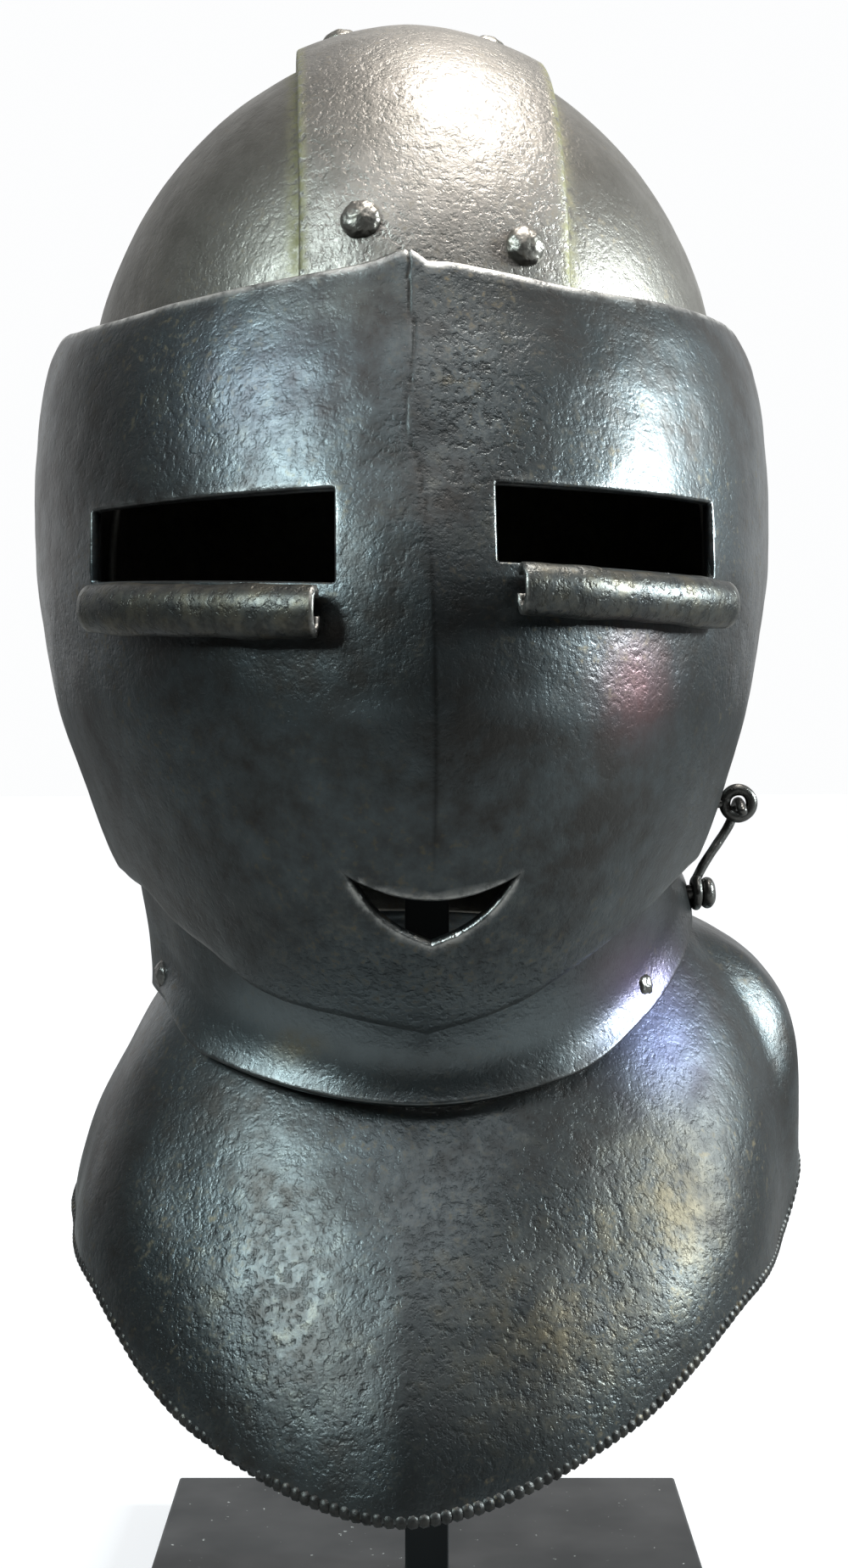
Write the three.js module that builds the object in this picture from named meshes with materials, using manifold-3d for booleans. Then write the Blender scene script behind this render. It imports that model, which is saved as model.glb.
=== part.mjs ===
// A siege helmet on a display stand, in millimetres.
// +Z is up and the face looks along -Y. The origin is on the underside of the stand, below the temple bolts.
// Left and right are the viewer's, facing the helmet. A turn is an angle about the vertical axis through
// the temples, 0 at the front and positive towards +X.
import * as THREE from "three";
import { mergeVertices } from "three/addons/utils/BufferGeometryUtils.js";
import Module from "manifold-3d";

const wasm = await Module();
wasm.setup();

// Driving sizes
const noseHeight = 270; // nose line above the floor: helmet heights below are measured from it
const fit = 0.3; // running gap between neighbours
const templeHeight = 85; // temple bolts above the nose line

const skullHalfWidth = 92.5;
const skullFront = 104;
const skullBack = 113;
const skullRise = 104; // skull top above the temples
const skullArchLeft = 1.86; // 2 is a round arch, less is steeper
const skullArchRight = 1.91;
const skullWall = 2.5;
const skullHem = -69; // lower edge at the nape
const skullBrow = 72; // edge above the face opening

const crownPlateWall = 4;
const crownPlateGap = 0.6;
const crownPlateWidth = 68;
const crownPlateShift = 3;
const crownPlateFrontAngle = 5; // from level ahead, about the temples
const crownPlateRearAngle = 113;

const visorHalfWidth = 104.9;
const visorLeftSwell = 2.7; // the left cheek stands out this much more
const visorDepth = 148;
const visorBrow = 110.5; // peak of the upper edge
const visorChin = -82.5;
const visorWall = 3;
const visorArmTurn = 101.5;
const armWide = 0.962; // the arms' half width, as a share of the visor's
const armUp = 0.7; // above this the arms stay as wide, up to their edge
const keelHeight = 4.5;
const keelSpread = 13; // degrees

const lipRadius = 5.7;
const lipWall = 2;

const bevorWall = 2.5;
const bevorArmTurn = 104;
const armGap = 1.5; // between bevor and visor at the bolts and at the chin
const cheekGap = 5.2; // between bevor and visor at the cheeks

const collarWall = 2.3;
const collarGap = 1.5; // between bevor and front collar
const collarTuck = 7; // how far the collars run up past the throat line
const napeGap = 1.3; // between skull and rear collar
const collarRim = 1.1; // how far the turned rim stands proud on each face
const collarSplitTurn = 97;
const flareShare = 7 / 8; // of each collar's rows lie below the throat line

const boltRadius = 4;
const boltHeadRadius = 9;
const boltHeadRise = 3.5;
const nutRadius = 7.5;
const nutWall = 3;

const rivetRadius = 2;
const crownRivetHead = 5.2;
const crownRivetRise = 3.6;
const collarRivetHead = 4;
const collarRivetRise = 2.6;

const latchHeight = -54.5; // hook stud, from the nose line
const latchBack = -30; // stud and ring along Y
const latchReach = 25.5; // from the stud up to the ring
const studShank = 2.2;
const studHead = 4.6;
const studHeadWall = 4;
const eyeRadius = 3.9; // ring, to the middle of its wire
const eyeWire = 1.35;
const hookWire = 1.2;

const standWidth = 166;
const standWall = 10;
const standTurn = -3.5; // degrees about the post
const postShift = 6.8; // the post stands this far to the right of the helmet's middle
const postWidth = 13;
const padRadius = 24;
const padWall = 9;
const padGap = 1; // under the skull
const padDome = 58; // radius of the pad's top

const faceHeight = visorBrow - visorChin;
const radians = THREE.MathUtils.degToRad;

// Shape tables. Heights named up are shares of the face height, from the visor's chin edge to its peak.
const visorForm = [
  { up: 0.0, wide: 0.637, deep: 0.784 },
  { up: 0.039, wide: 0.67, deep: 0.824 },
  { up: 0.117, wide: 0.739, deep: 0.892 },
  { up: 0.22, wide: 0.824, deep: 0.949 },
  { up: 0.324, wide: 0.889, deep: 0.986 },
  { up: 0.427, wide: 0.943, deep: 1.0 },
  { up: 0.531, wide: 0.976, deep: 0.99 },
  { up: 0.635, wide: 0.997, deep: 0.959 },
  { up: 0.733, wide: 1.0, deep: 0.919 },
  { up: 0.834, wide: 0.99, deep: 0.872 },
  { up: 0.908, wide: 0.966, deep: 0.828 },
  { up: 0.958, wide: 0.922, deep: 0.801 },
  { up: 1.0, wide: 0.865, deep: 0.78 },
];
// low and high are the two edges on the left, lowRight and highRight those on the right.
const visorEdges = [
  { turn: 0, low: 0.0, lowRight: 0.0, high: 0.985, highRight: 0.985 },
  { turn: 2.5, low: 0.006, lowRight: 0.008, high: 1.0, highRight: 0.985 },
  { turn: 7, low: 0.014, lowRight: 0.021, high: 0.985, highRight: 0.979 },
  { turn: 12, low: 0.024, lowRight: 0.04, high: 0.976, highRight: 0.972 },
  { turn: 18, low: 0.034, lowRight: 0.074, high: 0.968, highRight: 0.963 },
  { turn: 25, low: 0.056, lowRight: 0.11, high: 0.96, highRight: 0.959 },
  { turn: 32, low: 0.095, lowRight: 0.142, high: 0.953, highRight: 0.959 },
  { turn: 42, low: 0.13, lowRight: 0.185, high: 0.945, highRight: 0.96 },
  { turn: 50, low: 0.168, lowRight: 0.2, high: 0.941, highRight: 0.96 },
  { turn: 60, low: 0.18, lowRight: 0.208, high: 0.943, highRight: 0.96 },
  { turn: 70, low: 0.19, lowRight: 0.216, high: 0.95, highRight: 0.955 },
  { turn: 78, low: 0.235, lowRight: 0.245, high: 0.945, highRight: 0.947 },
  { turn: 84, low: 0.33, lowRight: 0.33, high: 0.938, highRight: 0.938 },
  { turn: 88, low: 0.52, lowRight: 0.52, high: 0.93, highRight: 0.93 },
  { turn: 92, low: 0.68, lowRight: 0.68, high: 0.925, highRight: 0.925 },
  { turn: 97, low: 0.76, lowRight: 0.76, high: 0.915, highRight: 0.915 },
  { turn: 101.5, low: 0.82, lowRight: 0.82, high: 0.885, highRight: 0.885 },
];
// The keel's height along the face, as a share of keelHeight, and how far it leans, in degrees.
const keelRows = [
  { up: 0.0, rise: 0.15, lean: 0 },
  { up: 0.2, rise: 0.3, lean: 0 },
  { up: 0.32, rise: 0.95, lean: 0 },
  { up: 0.6, rise: 1.0, lean: -0.4 },
  { up: 0.75, rise: 0.6, lean: -2.2 },
  { up: 0.9, rise: 0.7, lean: -2.3 },
  { up: 1.0, rise: 0.75, lean: -2.3 },
];
const bevorTop = [
  { turn: 0, high: 0.065 },
  { turn: 8, high: 0.09 },
  { turn: 16, high: 0.14 },
  { turn: 30, high: 0.2 },
  { turn: 46, high: 0.27 },
  { turn: 60, high: 0.42 },
  { turn: 70, high: 0.62 },
  { turn: 78, high: 0.8 },
  { turn: 84, high: 0.915 },
  { turn: 90, high: 0.95 },
  { turn: 97, high: 0.93 },
  { turn: 104, high: 0.88 },
];
// The throat line, where bevor and collars meet: reach is a share of visorDepth from the axis and
// drop a share of the face height below the nose line. The two sides differ, as on the real helmet.
const throatRows = [
  { turn: -180, reach: 0.556, drop: 0.37 },
  { turn: -120, reach: 0.48, drop: 0.385 },
  { turn: -90, reach: 0.488, drop: 0.418 },
  { turn: -63, reach: 0.54, drop: 0.41 },
  { turn: -53, reach: 0.562, drop: 0.418 },
  { turn: -36, reach: 0.622, drop: 0.477 },
  { turn: 0, reach: 0.672, drop: 0.526 },
  { turn: 22, reach: 0.658, drop: 0.497 },
  { turn: 39, reach: 0.626, drop: 0.43 },
  { turn: 51, reach: 0.606, drop: 0.378 },
  { turn: 68, reach: 0.584, drop: 0.328 },
  { turn: 90, reach: 0.55, drop: 0.312 },
  { turn: 120, reach: 0.5, drop: 0.345 },
  { turn: 180, reach: 0.556, drop: 0.37 },
];
// The collars' rim in the same shares. power is how early the flare opens out.
const rimRows = [
  { turn: -180, reach: 0.77, drop: 0.63, power: 1.6 },
  { turn: -135, reach: 0.68, drop: 0.67, power: 1.8 },
  { turn: -105, reach: 0.635, drop: 0.72, power: 1.6 },
  { turn: -71, reach: 0.678, drop: 0.759, power: 1.6 },
  { turn: -52, reach: 0.77, drop: 0.79, power: 1.7 },
  { turn: -26, reach: 0.9, drop: 0.945, power: 1.6 },
  { turn: -3, reach: 0.994, drop: 1.012, power: 1.45 },
  { turn: 21, reach: 0.925, drop: 0.94, power: 1.6 },
  { turn: 45, reach: 0.835, drop: 0.82, power: 1.9 },
  { turn: 68, reach: 0.77, drop: 0.775, power: 3.1 },
  { turn: 78, reach: 0.785, drop: 0.71, power: 4.9 },
  { turn: 105, reach: 0.78, drop: 0.645, power: 4.6 },
  { turn: 135, reach: 0.74, drop: 0.62, power: 2.0 },
  { turn: 180, reach: 0.77, drop: 0.63, power: 1.6 },
];
// The skull below the temples, as shares of its own width and depth; drop is a share of the way from
// the temples to the hem.
const skullRows = [
  { drop: 0.0, wide: 1.0, back: 1.0 },
  { drop: 0.27, wide: 1.0, back: 0.985 },
  { drop: 0.51, wide: 0.935, back: 0.92 },
  { drop: 0.76, wide: 0.81, back: 0.82 },
  { drop: 0.88, wide: 0.7, back: 0.755 },
  { drop: 1.0, wide: 0.625, back: 0.715 },
];
// The skull's lower edge, as a share of the way from the brow edge to the hem.
const skullEdge = [
  { turn: 0, drop: 0.0 },
  { turn: 50, drop: 0.015 },
  { turn: 62, drop: 0.1 },
  { turn: 71, drop: 0.38 },
  { turn: 79, drop: 0.7 },
  { turn: 88, drop: 0.9 },
  { turn: 104, drop: 0.95 },
  { turn: 125, drop: 1.0 },
  { turn: 180, drop: 1.0 },
];
// Eye slots: corners from the visor's middle and above the nose line.
const eyeSlots = [
  { side: "left", inner: -23, outer: -85, innerTop: 51.5, innerLow: 27.5, outerTop: 49.5, outerLow: 30 },
  { side: "right", inner: 14.5, outer: 74.5, innerTop: 53, innerLow: 32.5, outerTop: 51.5, outerLow: 31 },
];
const eyeLips = [
  { side: "left", inner: -27, outer: -81, innerHeight: 21, outerHeight: 23.5 },
  { side: "right", inner: 19.5, outer: 73.5, innerHeight: 26.5, outerHeight: 24.5 },
];
// Mouth cut: measured from the visor's middle and from the nose line.
const mouthHalfWidth = 21.5;
const mouthTipHeight = -41;
const mouthTopDip = 6.2; // how far the upper edge hangs below the tips
const mouthLowDip = 18.4; // depth of the V below the tips

// Small helpers

// Reads a column of a table at a place along another column, smoothly.
function follow(table, key, at, column) {
  const last = table.length - 1;
  const x = THREE.MathUtils.clamp(at, table[0][key], table[last][key]);
  let i = 0;
  while (i < last - 1 && x > table[i + 1][key]) i++;
  const slope = (a, b) => (table[b][column] - table[a][column]) / (table[b][key] - table[a][key]);
  const tangent = (k) => {
    if (k === 0) return slope(0, 1);
    if (k === last) return slope(last - 1, last);
    const before = slope(k - 1, k);
    const after = slope(k, k + 1);
    return before * after <= 0 ? 0 : (2 * before * after) / (before + after);
  };
  const step = table[i + 1][key] - table[i][key];
  const t = (x - table[i][key]) / step;
  const rise = table[i + 1][column] - table[i][column];
  const a = tangent(i) * step;
  const b = tangent(i + 1) * step;
  return table[i][column] + a * t + (3 * rise - 2 * a - b) * t * t + (a + b - 2 * rise) * t * t * t;
}

const upAt = (height) => (height - visorChin) / faceHeight;
const heightAt = (up) => visorChin + up * faceHeight;
const ramp = (x, from, to) => THREE.MathUtils.smoothstep(x, from, to);

// A point at a turn, a reach from the axis and a height.
function polar(turn, reach, height) {
  const a = radians(turn);
  return new THREE.Vector3(reach * Math.sin(a), -reach * Math.cos(a), height);
}

// The reach of an ellipse with the given half width and depth.
function ellipseReach(turn, wide, deep) {
  const a = radians(turn);
  return 1 / Math.hypot(Math.sin(a) / wide, Math.cos(a) / deep);
}

// The outward normal of a face, from small steps along it.
function normalOf(face, u, v) {
  const d = 0.004;
  const across = face(Math.min(u + d, 1), v).sub(face(Math.max(u - d, 0), v));
  const along = face(u, Math.min(v + d, 1)).sub(face(u, Math.max(v - d, 0)));
  return across.cross(along).normalize();
}

// A closed plate: face gives its outer face, u from left to right and v from its lower edge upwards.
// proud thickens it on both faces.
function plate(face, wall, columns, rows, proud = () => 0) {
  const points = [];
  const at = (i, j, k) => (j * (columns + 1) + i) * 2 + k;
  for (let j = 0; j <= rows; j++)
    for (let i = 0; i <= columns; i++) {
      const u = i / columns;
      const v = j / rows;
      const normal = normalOf(face, u, v);
      const extra = proud(v);
      points.push(face(u, v).addScaledVector(normal, extra));
      points.push(face(u, v).addScaledVector(normal, -wall - extra));
    }
  const index = [];
  const quad = (a, b, c, d) => index.push(a, b, c, a, c, d);
  for (let j = 0; j < rows; j++)
    for (let i = 0; i < columns; i++) {
      quad(at(i, j, 0), at(i + 1, j, 0), at(i + 1, j + 1, 0), at(i, j + 1, 0));
      quad(at(i, j, 1), at(i, j + 1, 1), at(i + 1, j + 1, 1), at(i + 1, j, 1));
    }
  for (let i = 0; i < columns; i++) {
    quad(at(i + 1, 0, 0), at(i, 0, 0), at(i, 0, 1), at(i + 1, 0, 1));
    quad(at(i, rows, 0), at(i + 1, rows, 0), at(i + 1, rows, 1), at(i, rows, 1));
  }
  for (let j = 0; j < rows; j++) {
    quad(at(columns, j + 1, 0), at(columns, j, 0), at(columns, j, 1), at(columns, j + 1, 1));
    quad(at(0, j, 0), at(0, j + 1, 0), at(0, j + 1, 1), at(0, j, 1));
  }
  return indexed(points, index);
}

// A closed bowl round the whole axis: v runs from its lower edge to the pole, where it closes.
function bowl(face, wall, columns, rows) {
  const points = [];
  const at = (i, j, k) => (j * columns + (i % columns)) * 2 + k;
  for (let j = 0; j < rows; j++)
    for (let i = 0; i < columns; i++) {
      const u = i / columns;
      const v = j / rows;
      const around = (a, b) => face((a + 1) % 1, b);
      const d = 0.004;
      const across = around(u + d, v).sub(around(u - d, v));
      const along = around(u, v + d).sub(around(u, Math.max(v - d, 0)));
      const normal = across.cross(along).normalize();
      points.push(face(u, v));
      points.push(face(u, v).addScaledVector(normal, -wall));
    }
  const pole = face(0, 1);
  const top = points.push(pole) - 1;
  const under = points.push(pole.clone().setZ(pole.z - wall)) - 1;
  const index = [];
  const quad = (a, b, c, d) => index.push(a, b, c, a, c, d);
  for (let i = 0; i < columns; i++) {
    for (let j = 0; j < rows - 1; j++) {
      quad(at(i, j, 0), at(i + 1, j, 0), at(i + 1, j + 1, 0), at(i, j + 1, 0));
      quad(at(i, j, 1), at(i, j + 1, 1), at(i + 1, j + 1, 1), at(i + 1, j, 1));
    }
    quad(at(i + 1, 0, 0), at(i, 0, 0), at(i, 0, 1), at(i + 1, 0, 1));
    index.push(at(i, rows - 1, 0), at(i + 1, rows - 1, 0), top);
    index.push(at(i + 1, rows - 1, 1), at(i, rows - 1, 1), under);
  }
  return indexed(points, index);
}

function indexed(points, index) {
  const geometry = new THREE.BufferGeometry().setFromPoints(points);
  geometry.setIndex(index);
  return geometry;
}

// Solids for cutting and joining, and back again.
function solid(geometry) {
  const bare = geometry.clone();
  bare.deleteAttribute("normal");
  bare.deleteAttribute("uv");
  const merged = mergeVertices(bare, 1e-4);
  const mesh = new wasm.Mesh({
    numProp: 3,
    vertProperties: merged.attributes.position.array,
    triVerts: new Uint32Array(merged.index.array),
  });
  return new wasm.Manifold(mesh);
}

function surface(body) {
  const mesh = body.getMesh();
  const geometry = new THREE.BufferGeometry();
  geometry.setAttribute("position", new THREE.BufferAttribute(mesh.vertProperties, 3));
  geometry.setIndex(new THREE.BufferAttribute(mesh.triVerts, 1));
  geometry.computeVertexNormals();
  return geometry;
}

const metal = (color, roughness, metalness) => new THREE.MeshStandardMaterial({ color, roughness, metalness });
const blackenedSteel = metal(0x34383c, 0.42, 0.85);
const wornSteel = metal(0x6b645d, 0.45, 0.85);
const darkIron = metal(0x2c2a2a, 0.5, 0.8);
const blackLacquer = metal(0x0b0b0c, 0.45, 0.1);

function piece(name, geometry, material) {
  const mesh = new THREE.Mesh(geometry, material);
  mesh.name = name;
  return mesh;
}

// A round pin along a line, for drilling.
function drill(from, to, radius) {
  const length = from.distanceTo(to);
  const pin = new THREE.CylinderGeometry(radius, radius, length, 10);
  const line = to.clone().sub(from).normalize();
  pin.applyQuaternion(new THREE.Quaternion().setFromUnitVectors(new THREE.Vector3(0, 1, 0), line));
  pin.translate(...from.clone().add(to).multiplyScalar(0.5).toArray());
  return solid(pin);
}

// Forms of the plates, as reach from the axis at a turn and a height

// Half width falls a little towards the bolts, and the drawn-in shoulder fades out there.
function visorReach(turn, height) {
  const side = ramp(Math.abs(turn), 74, 90);
  const up = upAt(height);
  const broad = follow(visorForm, "up", up, "wide");
  const arm = up > armUp ? armWide : Math.min(armWide, 0.975 * broad);
  const wide = THREE.MathUtils.lerp(broad, arm, side);
  const deep = follow(visorForm, "up", up, "deep");
  const swell = turn < 0 ? visorLeftSwell * (1 - side) * ramp(up, 0.1, 0.6) : 0;
  const aside = Math.abs(turn - follow(keelRows, "up", up, "lean"));
  const keel = keelHeight * follow(keelRows, "up", up, "rise") * Math.exp(-aside / keelSpread);
  return ellipseReach(turn, wide * visorHalfWidth + swell, deep * visorDepth - keelHeight) + keel;
}

const visorLow = (turn) => {
  const side = Math.min(Math.abs(turn), visorArmTurn);
  return heightAt(follow(visorEdges, "turn", side, turn < 0 ? "low" : "lowRight"));
};
const visorHigh = (turn) => heightAt(follow(visorEdges, "turn", Math.abs(turn), turn < 0 ? "high" : "highRight"));

// How much thicker a plate is when measured level, where its form slopes.
const slant = (reachAt, turn, height) => Math.hypot(1, (reachAt(turn, height + 1) - reachAt(turn, height - 1)) / 2);

const throatReach = (turn) => visorDepth * follow(throatRows, "turn", turn, "reach");
const throatHeight = (turn) => -faceHeight * follow(throatRows, "turn", turn, "drop");

const rimReach = (turn) => visorDepth * follow(rimRows, "turn", turn, "reach");
const rimHeight = (turn) => -faceHeight * follow(rimRows, "turn", turn, "drop");

// The bevor runs inside the visor down to the visor's lower edge, then draws in to the throat.
function bevorReach(turn, height) {
  const side = Math.abs(turn);
  const cheek = ramp(side, 30, 55) * (1 - ramp(side, 78, 88) * ramp(height, -25, 15)) * ramp(height, -60, -10);
  const inset = visorWall + THREE.MathUtils.lerp(armGap, cheekGap, cheek);
  const low = Math.min(visorLow(turn), heightAt(0.19));
  if (height >= low) return visorReach(turn, height) - inset * slant(visorReach, turn, height);
  const share = (low - height) / (low - throatHeight(turn));
  const start = visorReach(turn, low) - inset * slant(visorReach, turn, low);
  return start + (throatReach(turn) - start) * (1 - (1 - share) ** 2);
}

// A collar's reach below the throat, from its start there to its rim.
function flare(turn, height, start) {
  const throat = throatHeight(turn);
  const share = (throat - height) / (throat - rimHeight(turn));
  return start + (rimReach(turn) - start) * (1 - (1 - share) ** follow(rimRows, "turn", turn, "power"));
}

// The collars start inside the bevor and flare out below the throat.
function collarReach(turn, height) {
  const throat = throatHeight(turn);
  const step = (bevorWall + collarGap) * slant(bevorReach, turn, Math.max(height, throat + 1));
  if (height >= throat) return bevorReach(turn, height) - step;
  return flare(turn, height, throatReach(turn) - step);
}

const archOf = (side) => (side < 0 ? skullArchLeft : skullArchRight);

// The skull above the temples, in a direction given by a turn and an angle up from level.
function skullDome(turn, angle) {
  const [a, b] = [radians(turn), radians(angle)];
  const deep = Math.abs(turn) < 90 ? skullFront : skullBack;
  const wide = Math.abs(Math.sin(a) * Math.cos(b)) / skullHalfWidth;
  const round = Math.hypot((Math.cos(a) * Math.cos(b)) / deep, Math.sin(b) / skullRise);
  const power = archOf(turn);
  const size = (wide ** power + round ** power) ** (-1 / power);
  return polar(turn, size * Math.cos(b), templeHeight + size * Math.sin(b));
}

// The skull below the temples, drawn in to the neck.
function skullReach(turn, height) {
  const drop = (height - templeHeight) / (skullHem - templeHeight);
  const edge = skullDome(turn, 0);
  const deep = Math.abs(turn) < 90 ? skullFront : skullBack;
  const wide = skullHalfWidth * follow(skullRows, "drop", drop, "wide");
  const back = deep * follow(skullRows, "drop", drop, "back");
  const round = ellipseReach(turn, skullHalfWidth, deep);
  return (ellipseReach(turn, wide, back) / round) * Math.hypot(edge.x, edge.y);
}

// Pieces of the helmet

// Rows of the skull climb from the lower edge to the temples, then by equal angles to the top.
function skullFace(u, v) {
  const turn = 360 * u - 180;
  const edge = skullBrow + (skullHem - skullBrow) * follow(skullEdge, "turn", Math.abs(turn), "drop");
  const wallShare = 0.42;
  if (v < wallShare) {
    const height = THREE.MathUtils.lerp(edge, templeHeight, v / wallShare);
    return polar(turn, skullReach(turn, height), height);
  }
  return skullDome(turn, Math.min(90, (90 * (v - wallShare)) / (1 - wallShare)));
}

// A point of the skull's top, at x from the middle and an angle about the temples from level ahead.
function skullTop(x, angle, out) {
  const a = radians(angle);
  const deep = (angle < 90 ? skullFront : skullBack) + out;
  const around = 1 / Math.hypot(Math.cos(a) / deep, Math.sin(a) / (skullRise + out));
  const share = Math.abs(x) / (skullHalfWidth + out);
  const reach = around * (1 - share ** archOf(x)) ** (1 / archOf(x));
  return new THREE.Vector3(x, -reach * Math.cos(a), templeHeight + reach * Math.sin(a));
}

function crownPlateFace(u, v) {
  const x = crownPlateShift + crownPlateWidth * (u - 0.5);
  const angle = THREE.MathUtils.lerp(crownPlateFrontAngle, crownPlateRearAngle, v);
  return skullTop(x, angle, crownPlateGap + crownPlateWall);
}

const crownRivets = [
  { name: "crown_rivet_front_left", x: -16, angle: 19.5 },
  { name: "crown_rivet_front_right", x: 25.5, angle: 16.5 },
  { name: "crown_rivet_top_left", x: -19, angle: 86 },
  { name: "crown_rivet_top_right", x: 24.5, angle: 86 },
];

// Where each rivet sits: a point on the face it heads, and the way out.
function crownRivetSeat({ x, angle }) {
  const out = crownPlateGap + crownPlateWall;
  const point = skullTop(x, angle, out);
  const beside = skullTop(x + 1, angle, out).sub(point);
  const above = skullTop(x, angle + 1, out).sub(point);
  return { point, out: beside.cross(above).normalize() };
}

const collarRivets = [
  { name: "collar_rivet_front_left", turn: -57, above: 4.5 },
  { name: "collar_rivet_front_right", turn: 41, above: 4.5 },
];
const napeRivets = [
  { name: "collar_rivet_back_left", turn: -140 },
  { name: "collar_rivet_back_right", turn: 140 },
];

function seatOn(reachAt, turn, height) {
  const point = polar(turn, reachAt(turn, height), height);
  const beside = polar(turn + 1, reachAt(turn + 1, height), height).sub(point);
  const above = polar(turn, reachAt(turn, height + 1), height + 1).sub(point);
  return { point, out: beside.cross(above).normalize() };
}

const collarRivetSeat = ({ turn, above }) => seatOn(bevorReach, turn, throatHeight(turn) + above);

// The rear collar lies on the outside of the skull's neck, then flares like the front one.
function napeReach(turn, height) {
  const throat = throatHeight(turn);
  const onSkull = (at) => skullReach(turn, Math.max(at, skullHem)) + napeGap + collarWall;
  if (height >= throat) return onSkull(height);
  return flare(turn, height, onSkull(throat));
}
const napeSeatReach = (turn, height) => napeReach(turn, height) + 3 * fit;
const napeRivetSeat = ({ turn }) => seatOn(napeSeatReach, turn, throatHeight(turn) + 0.7 * collarTuck);

// Cuts a rivet's or bolt's hole through whatever lies under its seat.
function holeAt(seat, radius) {
  const depth = 16;
  const from = seat.point.clone().addScaledVector(seat.out, depth / 2);
  const to = seat.point.clone().addScaledVector(seat.out, -depth);
  return drill(from, to, radius + fit);
}

// A domed rivet standing on its seat, with a shank through the plates.
function rivet(seat, head, rise, shank) {
  const sides = 8;
  const profile = [
    [0, -shank],
    [rivetRadius, -shank],
    [rivetRadius, fit],
    [head, fit],
    [head * 0.93, fit + rise * 0.45],
    [head * 0.62, fit + rise * 0.85],
    [0, fit + rise],
  ].map(([x, y]) => new THREE.Vector2(x, y));
  const geometry = new THREE.LatheGeometry(profile, sides);
  geometry.applyQuaternion(new THREE.Quaternion().setFromUnitVectors(new THREE.Vector3(0, 1, 0), seat.out));
  geometry.translate(seat.point.x, seat.point.y, seat.point.z);
  return geometry;
}

// The hole through all three plates at each temple.
function boltHoles() {
  const far = visorHalfWidth + 10;
  const near = skullHalfWidth - 20;
  const hole = (side) =>
    drill(
      new THREE.Vector3(side * near, 0, templeHeight),
      new THREE.Vector3(side * far, 0, templeHeight),
      boltRadius + fit,
    );
  return hole(-1).add(hole(1));
}

// A temple bolt: domed head outside the visor, shank through the plates, nut inside the skull.
function bolt(side) {
  const around = [-1, 0, 1].map((k) => visorReach(90 + 5 * k, templeHeight + k * boltHeadRadius));
  const outside = Math.max(...around, visorReach(85, templeHeight - boltHeadRadius)) + fit;
  const inside = skullHalfWidth - skullWall - 5 * fit;
  const profile = [
    [0, inside - nutWall],
    [nutRadius, inside - nutWall],
    [nutRadius, inside],
    [boltRadius, inside],
    [boltRadius, outside],
    [boltHeadRadius, outside],
    [boltHeadRadius * 0.9, outside + boltHeadRise * 0.5],
    [boltHeadRadius * 0.55, outside + boltHeadRise * 0.9],
    [0, outside + boltHeadRise],
  ].map(([x, y]) => new THREE.Vector2(x, y));
  const geometry = new THREE.LatheGeometry(profile, 12);
  geometry.rotateZ((-side * Math.PI) / 2);
  geometry.translate(0, 0, templeHeight);
  return geometry;
}

function visorFace(u, v) {
  const turn = visorArmTurn * (2 * u - 1);
  const height = THREE.MathUtils.lerp(visorLow(turn), visorHigh(turn), v);
  return polar(turn, visorReach(turn, height), height);
}

// A flat outline in the frontal plane, run back through the front of the visor.
function frontCut(outline) {
  const depth = visorDepth;
  const cut = new THREE.ExtrudeGeometry(new THREE.Shape(outline), { depth, bevelEnabled: false, steps: 1 });
  cut.rotateX(Math.PI / 2);
  cut.translate(0, -10, 0);
  return solid(cut);
}

function eyeSlotCut(slot) {
  const corners = [
    [slot.inner, slot.innerLow],
    [slot.outer, slot.outerLow],
    [slot.outer, slot.outerTop],
    [slot.inner, slot.innerTop],
  ];
  const turned = slot.outer > slot.inner ? corners : corners.reverse();
  return frontCut(turned.map(([x, z]) => new THREE.Vector2(x, z)));
}

function mouthCut() {
  const steps = 6;
  const lower = [];
  const upper = [];
  for (let i = 0; i <= steps; i++) {
    const t = (2 * i) / steps - 1;
    const pinch = 1 - Math.abs(t) ** 1.8;
    lower.push(new THREE.Vector2(t * mouthHalfWidth, mouthTipHeight - mouthLowDip * pinch));
    if (i > 0 && i < steps)
      upper.unshift(new THREE.Vector2(t * mouthHalfWidth, mouthTipHeight - mouthTopDip * (1 - t * t)));
  }
  return frontCut([...lower, ...upper]);
}

// The visor's front at a distance from the middle, found from its reach.
function visorFrontAt(x, height) {
  let turn = 0;
  for (let i = 0; i < 12; i++)
    turn = THREE.MathUtils.radToDeg(Math.asin(THREE.MathUtils.clamp(x / visorReach(turn, height), -0.985, 0.985)));
  return -Math.cos(radians(turn)) * visorReach(turn, height);
}

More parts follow.
